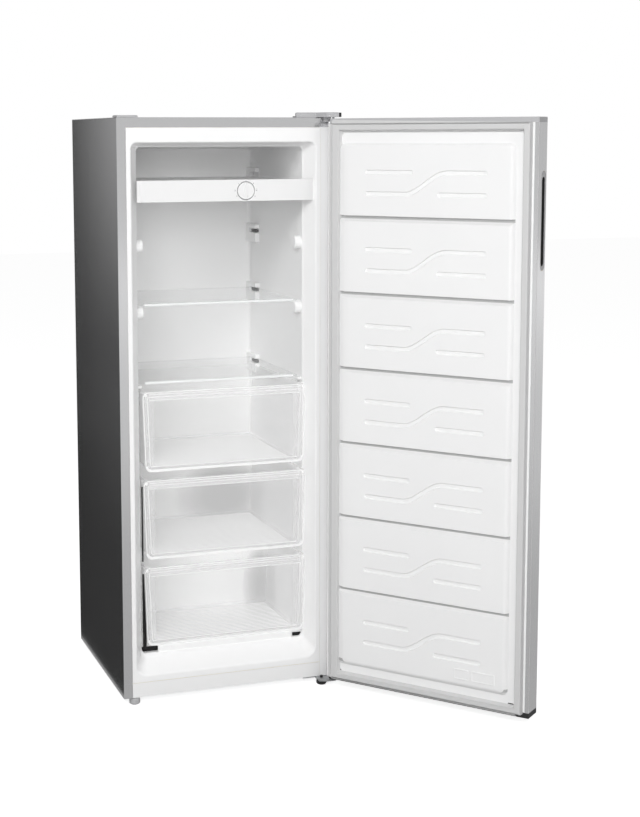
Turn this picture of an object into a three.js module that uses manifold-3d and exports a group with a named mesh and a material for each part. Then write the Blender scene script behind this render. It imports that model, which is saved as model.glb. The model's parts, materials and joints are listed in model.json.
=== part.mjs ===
// An upright freezer with its door standing open: steel cabinet, moulded liner, clear shelves and drawers.
// Millimetres, +Z up. The cabinet is laid out with x = 0 at its middle, y = 0 at its front face and
// z = 0 on the floor; the whole group is then moved so that the floor rectangle it takes is centred.
import * as THREE from "three";
import { mergeVertices } from "three/addons/utils/BufferGeometryUtils.js";
import Module from "manifold-3d";

const wasm = await Module();
wasm.setup();

// ---- Driving dimensions ----

const CABINET_WIDTH = 540;
const CABINET_DEPTH = 500;
const CABINET_TOP = 1448;
const CABINET_BOTTOM = 18;
const SHEET = 0.8; // steel sheet of the cabinet and the door
const BACK_RECESS = 6; // how far the back panel lies inside the rear edge of the cabinet
const GAP = 0.3; // air between touching pieces
const HALF = CABINET_WIDTH / 2;

const SIDE_FLANGE = 22.5; // width of the steel flange round the front
const TOP_FLANGE = 24;
const KICK_TOP = 55.5; // seam between the liner and the kick plate

const LINER_WALL = 2;
const MOUTH = { half: 236, bottom: 72, top: 1388, radius: 22 }; // liner opening in the front plane
const THROAT = { depth: 37, half: 216, bottom: 106, top: 1379, radius: 16 }; // where the flare ends
const CAVITY = { depth: 40, half: 213.5, bottom: 116, top: 1377, radius: 14 }; // after the small step
const BACK_WALL = { depth: 435, half: 207, bottom: 116, top: 1373, radius: 14 };
const MACHINE_STEP = { front: 285, top: 310 }; // liner step over the machine compartment
const INSULATION = 47; // foam between the liner step and the machine compartment

const SHELF_HEIGHTS = [994, 801]; // top face of each glass shelf
const SHELF_SLOTS = [1302, 1150, 990, 794]; // rear shelf slots in the side walls
const SHELF_BUMPS = [1140.5, 987.5]; // top of each round front support
const GLASS = 4;
const SHELF_HALF = 204.5;
const SHELF_FRONT = 44;
const SHELF_BACK = 400;

const DRAWERS = [
  { top: 783, back: 395 },
  { top: 563, back: 395 },
  { top: 343, back: 272 },
];
const DRAWER_HEIGHT = 199;
const DRAWER_FRONT = 8;
const LIP_HEIGHT = 18;
const RUNNER = 6; // how far the drawer runners stand out from the side walls

const CONTROL = { bottom: 1245, top: 1297, half: 231, front: 2 };
const DIAL = { x: 53.6, z: 1270, radius: 22 };

const DOOR_GAP = 17; // cabinet front to the door's inner face, filled by the gasket
const DOOR_THICKNESS = 53;
const DOOR_HALF = 271.5;
const DOOR_BOTTOM = 23;
const DOOR_TOP = 1445;
const DOOR_CAP = 12; // height of the plastic end caps
const DOOR_EDGE = 4; // radius of the outer upright edges
const DOOR_OPEN = THREE.MathUtils.degToRad(129.6);
const PIVOT = { x: 270.4, y: -29 };
const DOOR_INNER = -DOOR_GAP;
const DOOR_OUTER = -DOOR_GAP - DOOR_THICKNESS;

const GASKET = { outset: 6, width: 27, bottom: 25.5, top: 1434.5 };
const DOOR_STEP = { half: 237, bottom: 54, top: 1406, rise: 4 }; // low step inside the gasket
const DOOR_PANEL = { half: 222, bottom: 78, top: 1386, rise: 14, draft: 9 }; // raised panel field
const PANEL_GROOVES = { first: 1203.2, pitch: 187.2, count: 6, width: 10, depth: 7 };

const GRIP = { bottom: 1091, top: 1321, inner: 22, outer: 48.5, depth: 23 }; // handle recess in the door edge
const GRIP_SLOT = { bottom: 1101, top: 1308, inner: 26, outer: 45 };

const MACHINE = { front: MACHINE_STEP.front + INSULATION, top: MACHINE_STEP.top - INSULATION };
const PIN_RADIUS = 3;
const BUSH_RADIUS = 5;

const FRONT_FEET = { left: [-240, 12], right: [250, -8] };
const REAR_FEET = [-225, 225];
const REAR_FOOT_Y = 470;
const TOP_SCREWS = [[205, 22], [228, 40], [250, 22]];
const LOWER_SCREWS = [[215, 40], [255, 40]];

// ---- Materials ----

const finish = (color, roughness, metalness = 0, opacity = 1) =>
  new THREE.MeshStandardMaterial({
    color,
    roughness,
    metalness,
    opacity,
    transparent: opacity < 1,
  });

const paintedSteel = finish(0xb9babb, 0.38, 0.6);
const plainSteel = finish(0x9a9c9e, 0.4, 0.9);
const whitePlastic = finish(0xf2f2f1, 0.35);
const greyPlastic = finish(0xa9abac, 0.45);
const blackPlastic = finish(0x1c1d1f, 0.5);
const gasketVinyl = finish(0xdcdddc, 0.6);
const foam = finish(0xe8d9a0, 0.9);
const clearPlastic = finish(0xf4f6f7, 0.08, 0, 0.3);
const shelfGlass = finish(0xe6f0ee, 0.03, 0, 0.3);
const copper = finish(0xb87333, 0.35, 0.9);
const aluminium = finish(0xc9cccf, 0.35, 0.9);
const compressorPaint = finish(0x16171a, 0.35, 0.2);
const rubber = finish(0x26272a, 0.8);
const nylonFoot = finish(0x8c8e90, 0.6);

// ---- Shape helpers ----

// A geometry as a closed solid whose faces share their corners.
function toSolid(geometry) {
  const bare = geometry.clone();
  for (const name of Object.keys(bare.attributes))
    if (name !== "position") bare.deleteAttribute(name);
  const merged = mergeVertices(bare, 1e-4);
  return new wasm.Manifold(
    new wasm.Mesh({
      numProp: 3,
      vertProperties: new Float32Array(merged.attributes.position.array),
      triVerts: new Uint32Array(merged.index.array),
    }),
  );
}

function toGeometry(solid) {
  const { vertProperties, triVerts } = solid.getMesh();
  const geometry = new THREE.BufferGeometry();
  geometry.setAttribute("position", new THREE.BufferAttribute(vertProperties, 3));
  geometry.setIndex(new THREE.BufferAttribute(triVerts, 1));
  geometry.computeVertexNormals();
  return geometry;
}

const join = (...shapes) => toGeometry(shapes.map(toSolid).reduce((whole, next) => whole.add(next)));
const cut = (body, ...tools) =>
  toGeometry(tools.map(toSolid).reduce((left, tool) => left.subtract(tool), toSolid(body)));

function box([x0, x1], [y0, y1], [z0, z1]) {
  const block = new THREE.BoxGeometry(x1 - x0, y1 - y0, z1 - z0);
  return block.translate((x0 + x1) / 2, (y0 + y1) / 2, (z0 + z1) / 2);
}

// An upright cylinder from z0 to z1.
function post(x, y, z0, z1, radius, sides = 20) {
  const shaft = new THREE.CylinderGeometry(radius, radius, z1 - z0, sides);
  return shaft.rotateX(Math.PI / 2).translate(x, y, (z0 + z1) / 2);
}

// A cylinder that lies along Y, from y0 to y1.
function rod(x, z, y0, y1, radius, sides = 32) {
  return new THREE.CylinderGeometry(radius, radius, y1 - y0, sides).translate(x, (y0 + y1) / 2, z);
}

// A turned piece about the vertical line through x, y; the profile holds [radius, z] pairs.
function turned(x, y, profile, sides = 20) {
  const points = profile.map(([radius, z]) => new THREE.Vector2(radius, z));
  return new THREE.LatheGeometry(points, sides).rotateX(Math.PI / 2).translate(x, y, 0);
}

// A convex outline with its corners rounded: [u, v, radius] corners, anticlockwise; radius 0 is sharp.
function roundedOutline(corners, steps = 5) {
  const outline = [];
  corners.forEach(([u, v, radius], i) => {
    const corner = new THREE.Vector2(u, v);
    if (!radius) {
      outline.push(corner);
      return;
    }
    const before = new THREE.Vector2(...corners.at(i - 1).slice(0, 2)).sub(corner).normalize();
    const after = new THREE.Vector2(...corners[(i + 1) % corners.length].slice(0, 2))
      .sub(corner)
      .normalize();
    const halfAngle = Math.acos(before.dot(after)) / 2;
    const centre = before
      .clone()
      .add(after)
      .setLength(radius / Math.sin(halfAngle))
      .add(corner);
    const start = before.clone().multiplyScalar(radius / Math.tan(halfAngle)).add(corner).sub(centre);
    const turn = Math.PI - 2 * halfAngle;
    for (let k = 0; k <= steps; k++)
      outline.push(start.clone().rotateAround(new THREE.Vector2(), (turn * k) / steps).add(centre));
  });
  return outline;
}

// A closed body through rings of equal count, each anticlockwise seen from the far end.
function loft(rings) {
  const count = rings[0].length;
  const index = [];
  for (let r = 0; r < rings.length - 1; r++)
    for (let i = 0; i < count; i++) {
      const a = r * count + i;
      const b = r * count + ((i + 1) % count);
      index.push(a, b, b + count, a, b + count, a + count);
    }
  const last = (rings.length - 1) * count;
  for (let i = 1; i < count - 1; i++) index.push(0, i + 1, i, last, last + i, last + i + 1);
  const positions = rings.flat().flatMap((p) => [p.x, p.y, p.z]);
  const geometry = new THREE.BufferGeometry();
  geometry.setAttribute("position", new THREE.Float32BufferAttribute(positions, 3));
  geometry.setIndex(index);
  return geometry;
}

// A ring in the plane y, a rectangle or a trapezoid with rounded corners.
function wallRing(y, { half, lowHalf = half, bottom, top, radius }, steps = 5) {
  const outline = roundedOutline(
    [
      [bottom, -lowHalf, radius],
      [top, -half, radius],
      [top, half, radius],
      [bottom, lowHalf, radius],
    ],
    steps,
  );
  return outline.map(({ x: z, y: x }) => new THREE.Vector3(x, y, z));
}

// A ring in the plane z, about x = 0, with its own half width at the front and the back.
function floorRing(z, [frontHalf, backHalf], [y0, y1], radius, steps = 4) {
  const corners = [
    [-frontHalf, y0, radius],
    [frontHalf, y0, radius],
    [backHalf, y1, radius],
    [-backHalf, y1, radius],
  ];
  return roundedOutline(corners, steps).map(({ x, y }) => new THREE.Vector3(x, y, z));
}

// A flat plate of any outline, given as [x, y] corners, from z0 to z1.
function plate(corners, z0, z1) {
  const shape = new THREE.Shape(corners.map(([x, y]) => new THREE.Vector2(x, y)));
  const body = new THREE.ExtrudeGeometry(shape, { depth: z1 - z0, bevelEnabled: false });
  return body.translate(0, 0, z0);
}

// A bar of one section along X: the section's corners are [y, z], anticlockwise from the +X end.
const bar = (section, x0, x1) =>
  loft([x0, x1].map((x) => section.map(([y, z]) => new THREE.Vector3(x, y, z))));

// A path that is sampled at its own points, so that long straight runs need none between.
class Route extends THREE.Curve {
  constructor(points) {
    super();
    this.points = points;
  }

  getPointAt(t, target = new THREE.Vector3()) {
    const along = t * (this.points.length - 1);
    const i = Math.min(Math.floor(along), this.points.length - 2);
    return target.lerpVectors(this.points[i], this.points[i + 1], along - i);
  }

  getTangentAt(t, target = new THREE.Vector3()) {
    const reach = 1e-3;
    const from = this.getPointAt(Math.max(t - reach, 0));
    return this.getPointAt(Math.min(t + reach, 1), target).sub(from).normalize();
  }
}

// A bent tube through the given corners, each rounded over the length of bend.
function tube(points, radius, sides = 8, bend = 12) {
  const corners = points.map((p) => new THREE.Vector3(...p));
  const route = [corners[0]];
  for (let i = 1; i < corners.length - 1; i++) {
    const before = corners[i - 1].clone().sub(corners[i]).setLength(bend).add(corners[i]);
    const after = corners[i + 1].clone().sub(corners[i]).setLength(bend).add(corners[i]);
    route.push(...new THREE.QuadraticBezierCurve3(before, corners[i], after).getPoints(4));
  }
  route.push(corners.at(-1));
  const section = new THREE.Shape();
  section.absarc(0, 0, radius, 0, 2 * Math.PI);
  return new THREE.ExtrudeGeometry(section, {
    steps: route.length - 1,
    curveSegments: sides / 2,
    extrudePath: new Route(route),
  });
}

// A serpentine of tube in one plane: runs go up and down between low and high, pitch apart.
function serpentine(place, { low, high, first, pitch, runs }, radius) {
  const points = [];
  for (let run = 0; run < runs; run++) {
    const across = first + run * pitch;
    const ends = run % 2 ? [high, low] : [low, high];
    points.push(place(across, ends[0]), place(across, ends[1]));
  }
  return tube(points, radius, 6, pitch / 2 - 1);
}

function add(group, name, geometry, material) {
  const mesh = new THREE.Mesh(geometry, material);
  mesh.name = name;
  group.add(mesh);
}

// ---- The liner's cavity, used for the liner, its foam and the back of both ----

const grown = ({ half, bottom, top, radius }, grow) => ({
  half: half + grow,
  bottom: bottom - grow,
  top: top + grow,
  radius: radius + grow,
});

const sideWall = (y) =>
  THREE.MathUtils.mapLinear(y, CAVITY.depth, BACK_WALL.depth, CAVITY.half, BACK_WALL.half);

// What the liner bulges into the cavity: runners, shelf supports, floor ridge and machine step.
function linerBulges(grow) {
  const bulges = [
    box([-HALF, HALF], [MACHINE_STEP.front + grow, CABINET_DEPTH], [0, MACHINE_STEP.top - grow]),
    box([-180 + grow, 180 - grow], [42 + grow, 54 - grow], [100, 132 - grow]),
  ];
  for (const side of [-1, 1]) {
    const toWall = (inner) => [side * (inner + grow), side * HALF].sort((a, b) => a - b);
    for (const { top, back } of DRAWERS) {
      const [near, far] = [60 + grow, back + 4 - grow];
      const runner = [
        [side * (sideWall(near) - RUNNER + grow), near],
        [side * (sideWall(far) - RUNNER + grow), far],
        [side * HALF, far],
        [side * HALF, near],
      ];
      bulges.push(plate(runner, top - 20 + grow, top - 5.5 - grow));
    }
    for (const top of SHELF_BUMPS)
      bulges.push(
        new THREE.CylinderGeometry(13.5 - grow, 13.5 - grow, 60, 16)
          .rotateZ(Math.PI / 2)
          .translate(side * (203 + grow + 30), 54, top - 13.5),
      );
    const restTop = SHELF_HEIGHTS[1] - GLASS - 2.5;
    bulges.push(box(toWall(203), [46 + grow, 66 - grow], [restTop - 6 + grow, restTop - grow]));
    for (const top of SHELF_HEIGHTS) {
      const underGlass = top - GLASS - 0.5;
      bulges.push(box(toWall(202), [382 + grow, 397 - grow], [underGlass - 9 + grow, underGlass - grow]));
    }
    for (const slot of SHELF_SLOTS)
      bulges.push(box(toWall(205.3), [401 + grow, 424 - grow], [slot - 18 + grow, slot + 12 - grow]));
  }
  return bulges;
}

// The dark slots in the rear shelf supports.
function linerSlots(grow) {
  return [-1, 1].flatMap((side) =>
    SHELF_SLOTS.map((slot) => {
      const across = [side * 200, side * (210 + grow)].sort((a, b) => a - b);
      return box(across, [404 - grow, 416 + grow], [slot - 2 - grow, slot + 2 + grow]);
    }),
  );
}

function cavity(grow) {
  const open = loft([
    wallRing(-2, grown(MOUTH, grow)),
    wallRing(0, grown(MOUTH, grow)),
    wallRing(THROAT.depth + grow, grown(THROAT, grow)),
    wallRing(CAVITY.depth + grow, grown(CAVITY, grow)),
    wallRing(BACK_WALL.depth + grow, grown(BACK_WALL, grow)),
  ]);
  return join(cut(open, ...linerBulges(grow)), ...linerSlots(grow));
}

// ---- Cabinet shell, foam and liner ----

function buildCabinet(group) {
  const inside = HALF - SHEET;
  const screwHoles = TOP_SCREWS.map(([x, y]) => post(x, y, 1430, 1460, 2.9, 12));
  const lowerHoles = LOWER_SCREWS.map(([x, y]) => post(x, y, 10, 34, 2.9, 12));
  const footHole = post(...FRONT_FEET.left, 10, 34, 5, 16);

  const shell = cut(
    box([-HALF, HALF], [0, CABINET_DEPTH], [CABINET_BOTTOM, CABINET_TOP]),
    box([-inside, inside], [SHEET, CABINET_DEPTH + 1], [0, CABINET_TOP - SHEET]),
    box([SIDE_FLANGE - HALF, HALF - SIDE_FLANGE], [-1, 2], [0, CABINET_TOP - TOP_FLANGE]),
    ...screwHoles,
  );
  add(group, "cabinet_wrap", shell, paintedSteel);

  const fit = inside - GAP;
  const backFace = CABINET_DEPTH - BACK_RECESS;
  const backPanel = box([-fit, fit], [backFace + GAP, backFace + GAP + SHEET], [MACHINE.top + 1.5, CABINET_TOP - 1.1]);
  add(group, "back_panel", backPanel, plainSteel);

  const basePlate = cut(
    box([-fit, fit], [2.4, MACHINE.front - 1], [CABINET_BOTTOM + 0.2, CABINET_BOTTOM + 1.2]),
    footHole,
    ...lowerHoles,
  );
  add(group, "base_plate", basePlate, plainSteel);

  const pockets = [
    box([-HALF, HALF], [MACHINE.front, CABINET_DEPTH + 1], [0, MACHINE.top + 1.5]),
    box([-HALF, -fit + 5.2], [60, 440], [330, 1400]),
    box([fit - 5.2, HALF], [60, 440], [330, 1400]),
    box([-175, 175], [BACK_WALL.depth, BACK_WALL.depth + 13], [340, 1340]),
  ];
  const block = box([-fit, fit], [1.8, backFace], [CABINET_BOTTOM + 1.5, CABINET_TOP - 1.1]);
  const core = cut(block, cavity(LINER_WALL + GAP), ...pockets, ...screwHoles, ...lowerHoles, footHole);
  add(group, "insulation_foam", core, foam);

  const linerEdge = HALF - SIDE_FLANGE - GAP;
  const linerFlange = box([-linerEdge, linerEdge], [0, 1.5], [KICK_TOP + 0.2, CABINET_TOP - TOP_FLANGE - GAP]);
  const behindFront = box([-HALF, HALF], [0, CABINET_DEPTH], [0, CABINET_TOP]);
  const linerSkin = toGeometry(toSolid(cavity(LINER_WALL)).intersect(toSolid(behindFront)));
  add(group, "inner_liner", cut(join(linerSkin, linerFlange), cavity(0)), whitePlastic);

  const kickPlate = box([-linerEdge, linerEdge], [0, 1.5], [CABINET_BOTTOM + 0.2, KICK_TOP - 0.2]);
  add(group, "kick_plate", kickPlate, whitePlastic);
}

// ---- Machine compartment at the bottom of the back ----

function buildMachine(group) {
  const fit = HALF - SHEET - GAP;
  const front = MACHINE.front;
  const top = MACHINE.top;
  const rear = CABINET_DEPTH - BACK_RECESS;

  const lining = join(
    box([-fit, fit], [front + GAP, front + GAP + SHEET], [CABINET_BOTTOM + 2.2, top + 1.1]),
    box([-fit, fit], [front + GAP, rear], [top + GAP, top + 1.1]),
  );
  add(group, "machine_lining", lining, plainSteel);

  const trayTop = CABINET_BOTTOM + 1.8;
  const tray = join(
    box([-fit, fit], [front + GAP, rear], [CABINET_BOTTOM + 0.2, trayTop]),
    box([-fit, fit], [rear - 1.5, rear], [CABINET_BOTTOM + 0.2, trayTop + 12]),
  );
  add(group, "compressor_tray", tray, plainSteel);

  const centre = { x: -60, y: front + 84 };
  const feet = [-78, 78].flatMap((dx) => [-46, 46].map((dy) => [centre.x + dx, centre.y + dy]));
  const shellProfile = [
    [0, 33], [38, 34], [56, 46], [61, 60], [61, 88], [65, 89], [65, 93], [61, 94],
    [61, 128], [54, 148], [36, 160], [0, 164],
  ];
  const shell = turned(0, 0, shellProfile, 24).scale(1.32, 1, 1).translate(centre.x, centre.y, 0);
  const footPlate = cut(
    box([centre.x - 92, centre.x + 92], [centre.y - 58, centre.y + 58], [32, 35]),
    ...feet.map(([x, y]) => post(x, y, 20, 40, 5.5, 12)),
  );
  add(group, "compressor", join(shell, footPlate), compressorPaint);
  feet.forEach(([x, y], i) => {
    const profile = [[0, trayTop + GAP], [11, trayTop + GAP], [11, 31.7], [5, 31.7], [5, 35.3], [8, 35.3], [7, 39], [0, 39]];
    add(group, `compressor_mount_${i + 1}`, turned(x, y, profile, 12), rubber);
  });

  const relayX = centre.x + 65.5 * 1.32;
  const relay = loft([
    floorRing(70, [19, 19], [-28, 28], 6, 2),
    floorRing(128, [17, 17], [-25, 25], 6, 2),
  ]).translate(relayX + 19, centre.y, 0);
  add(group, "relay_cover", relay, blackPlastic);

  const drier = turned(150, 462, [[0, 60], [3, 62], [3, 70], [9, 78], [9, 150], [3, 158], [3, 168], [0, 170]], 12);
  add(group, "filter_drier", drier, copper);

  const discharge = tube(
    [[centre.x + 30, centre.y, 166], [centre.x + 30, centre.y, 200], [centre.x + 30, 462, 225], [150, 462, 225], [150, 462, 171]],
    3,
  );
  add(group, "discharge_pipe", discharge, copper);
  const suction = tube(
    [[centre.x - 40, centre.y, 166], [centre.x - 40, centre.y, 215], [-200, centre.y, 215], [-200, centre.y, top - 1]],
    4,
  );
  add(group, "suction_pipe", suction, copper);

  const inlet = cut(
    box([182, 214], [468, rear - 2], [trayTop + GAP, 50]),
    rod(198, 36, rear - 16, rear, 5, 16),
  );
  add(group, "mains_inlet", inlet, blackPlastic);

  REAR_FEET.forEach((x, i) => {
    const profile = [[0, 0], [11, 0], [14, 4], [14, CABINET_BOTTOM - 0.1], [0, CABINET_BOTTOM - 0.1]];
    add(group, `rear_foot_${i ? "right" : "left"}`, turned(x, REAR_FOOT_Y, profile, 16), blackPlastic);
  });

  const sideRuns = { low: 345, high: 1385, first: 90, pitch: 64, runs: 6 };
  const sideCoil = (side) => serpentine((y, z) => [side * (fit - 2.6), y, z], sideRuns, 2.2);
  add(group, "condenser_left", sideCoil(-1), copper);
  add(group, "condenser_right", sideCoil(1), copper);
  const evaporatorY = BACK_WALL.depth + LINER_WALL + GAP + 4.6;
  const backRuns = { low: 360, high: 1320, first: -154, pitch: 44, runs: 8 };
  const evaporator = serpentine((x, z) => [x, evaporatorY, z], backRuns, 4);
  add(group, "evaporator_coil", evaporator, aluminium);
}

// ---- Thermostat and control unit ----

function buildControls(group) {
  const { bottom, top, half, front } = CONTROL;
  const fascia = cut(
    join(
      box([-half, half], [front, front + 3], [bottom, top]),
      box([11 - half, half - 11], [front + 2, 24], [bottom, bottom + 3]),
      box([11 - half, half - 11], [front + 2, 24], [top - 3, top]),
    ),
    rod(DIAL.x, DIAL.z, -5, 10, DIAL.radius + 0.6),
  );
  add(group, "control_fascia", fascia, whitePlastic);

  const deckHalf = 205;
  const housing = cut(
    join(
      box([-deckHalf, deckHalf], [24.4, SHELF_BACK - 6], [top - 6, top - 3]),
      box([-20, 130], [24.4, 112], [bottom + 2, top - 4]),
    ),
    box([-18, 128], [20, 110], [bottom + 4, top - 8]),
  );
  add(group, "control_housing", housing, whitePlastic);

  const thermostat = join(
    box([DIAL.x - 19, DIAL.x + 19], [42, 74], [DIAL.z - 17, DIAL.z + 17]),
    rod(DIAL.x, DIAL.z, 9.5, 43, 3, 16),
    rod(DIAL.x, DIAL.z, 34, 43, 6, 16),
  );
  add(group, "thermostat", thermostat, plainSteel);

  const dial = cut(
    join(
      rod(DIAL.x, DIAL.z, 0.4, 6, DIAL.radius),
      rod(DIAL.x, DIAL.z, 5, 18, 7, 16),
      box([DIAL.x - 2.5, DIAL.x + 2.5], [-1, 1], [DIAL.z - 17, DIAL.z + 17]),
    ),
    rod(DIAL.x, DIAL.z, 9, 20, 3.4, 16),
  );
  add(group, "thermostat_knob", dial, whitePlastic);
}

// ---- Shelves and drawers ----

function buildShelf(group, number, top) {
  const glass = box([-SHELF_HALF, SHELF_HALF], [SHELF_FRONT + 6, SHELF_BACK], [top - GLASS, top]);
  add(group, `shelf_${number}_glass`, glass, shelfGlass);
  const trim = cut(
    box([-SHELF_HALF - 1, SHELF_HALF + 1], [SHELF_FRONT, SHELF_FRONT + 14], [top - GLASS - 2, top + 3]),
    box([-SHELF_HALF - 2, SHELF_HALF + 2], [SHELF_FRONT + 5.7, SHELF_FRONT + 20], [top - GLASS - GAP, top + GAP]),
  );
  add(group, `shelf_${number}_trim`, trim, clearPlastic);
}

function buildDrawer(group, number, top, back) {
  const bottom = top - DRAWER_HEIGHT;
  const front = DRAWER_FRONT;
  const face = { half: 213, lowHalf: 206, bottom, top, radius: 12 };
  const within = (inset) => ({
    half: face.half - inset,
    lowHalf: face.lowHalf - inset,
    bottom: bottom + inset,
    top: top - inset,
    radius: Math.max(face.radius - inset, 4),
  });
  const frontPanel = cut(
    join(
      loft([wallRing(front, face), wallRing(front + 8, face)]),
      box([-face.half + 7, face.half - 7], [front - 4, front + 2], [top - LIP_HEIGHT, top - 1]),
    ),
    loft([wallRing(front + 3, within(4)), wallRing(front + 12, within(4))]),
    box([-face.half + 10, face.half - 10], [front - 5, front - 1.5], [top - LIP_HEIGHT - 1, top - 4]),
  );
  add(group, `drawer_${number}_front`, frontPanel, clearPlastic);

  const tubFront = front + 8 + GAP;
  const taper = ((CAVITY.half - BACK_WALL.half) * (back - tubFront)) / (BACK_WALL.depth - CAVITY.depth);
  const tubRing = (z, half, inset, radius) =>
    floorRing(z, [half - inset, half - taper - inset], [tubFront + inset, back - inset], radius);
  const rimHeight = top - 5;
  const tub = cut(
    join(
      loft([tubRing(bottom + 5, 198, 0, 16), tubRing(rimHeight, 204.5, 0, 16)]),
      loft([tubRing(rimHeight - 0.2, 211.5, 0, 6), tubRing(rimHeight + 3, 211.5, 0, 6)]),
    ),
    loft([tubRing(bottom + 8, 198, 2.5, 14), tubRing(rimHeight + 4, 204.7, 2.5, 14)]),
  );
  add(group, `drawer_${number}_basket`, tub, clearPlastic);
}

// ---- Hinges, covers and feet ----

function buildHinges(group) {
  const plateBottom = CABINET_TOP + GAP;
  const plateTop = plateBottom + 3;
  const upper = cut(
    join(
      plate(
        [[194, 8], [244, 8], [258, -38], [279, -38], [279, -14], [265, 2], [265, 54], [194, 54]],
        plateBottom,
        plateTop,
      ),
      post(PIVOT.x, PIVOT.y, DOOR_TOP - 11, plateTop - 1, PIN_RADIUS, 24),
    ),
    ...TOP_SCREWS.map(([x, y]) => post(x, y, plateBottom - 2, plateTop + 2, 2.9, 12)),
  );
  add(group, "top_hinge", upper, plainSteel);
  TOP_SCREWS.forEach(([x, y], i) => {
    const profile = [[0, 1436], [2.5, 1438], [2.5, plateTop + GAP], [5, plateTop + GAP], [4, plateTop + 3], [0, plateTop + 3]];
    add(group, `top_hinge_screw_${i + 1}`, turned(x, y, profile, 12), plainSteel);
  });

  const coverPlan = [[184, 2], [243, 2], [243, -41], [282, -41], [282, 2], [269, 2], [269, 60], [184, 60]];
  const coverInside = [[186, 4], [245, 4], [245, -39], [280, -39], [280, 0], [267, 4], [267, 58], [186, 58]];
  const cover = cut(
    plate(coverPlan, CABINET_TOP + GAP, CABINET_TOP + 12),
    plate(coverInside, CABINET_TOP, CABINET_TOP + 10.2),
  );
  add(group, "hinge_cover", cover, greyPlastic);
  const blank = loft([
    floorRing(CABINET_TOP + GAP, [26.5, 26.5], [2, 46], 3, 2),
    floorRing(CABINET_TOP + 5, [25, 25], [3.5, 44.5], 3, 2),
  ]).translate(-242.5, 0, 0);
  add(group, "hinge_hole_cover", blank, greyPlastic);

  const [footX, footY] = FRONT_FEET.right;
  const bracketTop = CABINET_BOTTOM - GAP;
  const lower = cut(
    join(
      plate(
        [[204, 3], [236, 3], [236, -30], [256, -39], [279, -39], [279, -14], [266, 3], [266, 58], [204, 58]],
        bracketTop - 3,
        bracketTop,
      ),
      post(PIVOT.x, PIVOT.y, bracketTop - 1, DOOR_BOTTOM + 11, PIN_RADIUS, 24),
    ),
    post(footX, footY, 10, 30, 4.4, 20),
    ...LOWER_SCREWS.map(([x, y]) => post(x, y, 10, 30, 2.9, 12)),
  );
  add(group, "lower_hinge", lower, plainSteel);
  LOWER_SCREWS.forEach(([x, y], i) => {
    const under = bracketTop - 3 - GAP;
    const profile = [[0, under - 3], [4, under - 3], [5, under], [2.5, under], [2.5, 31], [0, 33]];
    add(group, `lower_hinge_screw_${i + 1}`, turned(x, y, profile, 12), plainSteel);
  });

  const footProfile = [[0, 0], [10, 0], [13, 3], [13, 10], [11, 12.5], [4, 12.5], [4, 22], [0, 22]];
  add(group, "front_foot_right", turned(footX, footY, footProfile, 20), blackPlastic);
  const leftProfile = [[0, 0], [10, 0], [13.5, 3], [13.5, 13], [11, 16.5], [4, 16.5], [4, 30], [0, 30]];
  add(group, "front_foot_left", turned(...FRONT_FEET.left, leftProfile, 20), nylonFoot);
}

// ---- Door, laid out closed and then turned about its hinge line ----

// The inner face's raised field; shrinking it leaves the wall of the door liner.
function doorField(shrink) {
  const { rise, draft, half, bottom, top } = DOOR_PANEL;
  const rect = (y, inset, from, radius) =>
    wallRing(
      y,
      {
        half: from.half - inset - shrink,
        bottom: from.bottom + inset + shrink,
        top: from.top - inset - shrink,
        radius: radius,
      },
      3,
    );
  const low = DOOR_INNER - 4;
  const step = loft([
    rect(low, 0, DOOR_STEP, 14),
    rect(DOOR_INNER - shrink, 0, DOOR_STEP, 14),
    rect(DOOR_INNER + DOOR_STEP.rise - shrink, 3, DOOR_STEP, 12),
  ]);
  const field = { half, bottom, top };
  const panel = loft([
    rect(low, 0, field, 12),
    rect(DOOR_INNER + DOOR_STEP.rise - shrink, 0, field, 12),
    rect(DOOR_INNER + rise - shrink, draft, field, 8),
  ]);
  const face = DOOR_INNER + rise;
  const floor = face - PANEL_GROOVES.depth - shrink;
  const open = PANEL_GROOVES.width / 2 + shrink;
  const grooves = [];
  for (let k = 0; k < PANEL_GROOVES.count; k++) {
    const z = PANEL_GROOVES.first - k * PANEL_GROOVES.pitch;
    const section = [
      [floor, z - 1.5 - shrink],
      [face + 1, z - open],
      [face + 1, z + open],
      [floor, z + 1.5 + shrink],
    ];
    grooves.push(bar(section, -HALF, HALF));
  }
  return join(step, cut(panel, ...grooves));
}

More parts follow.
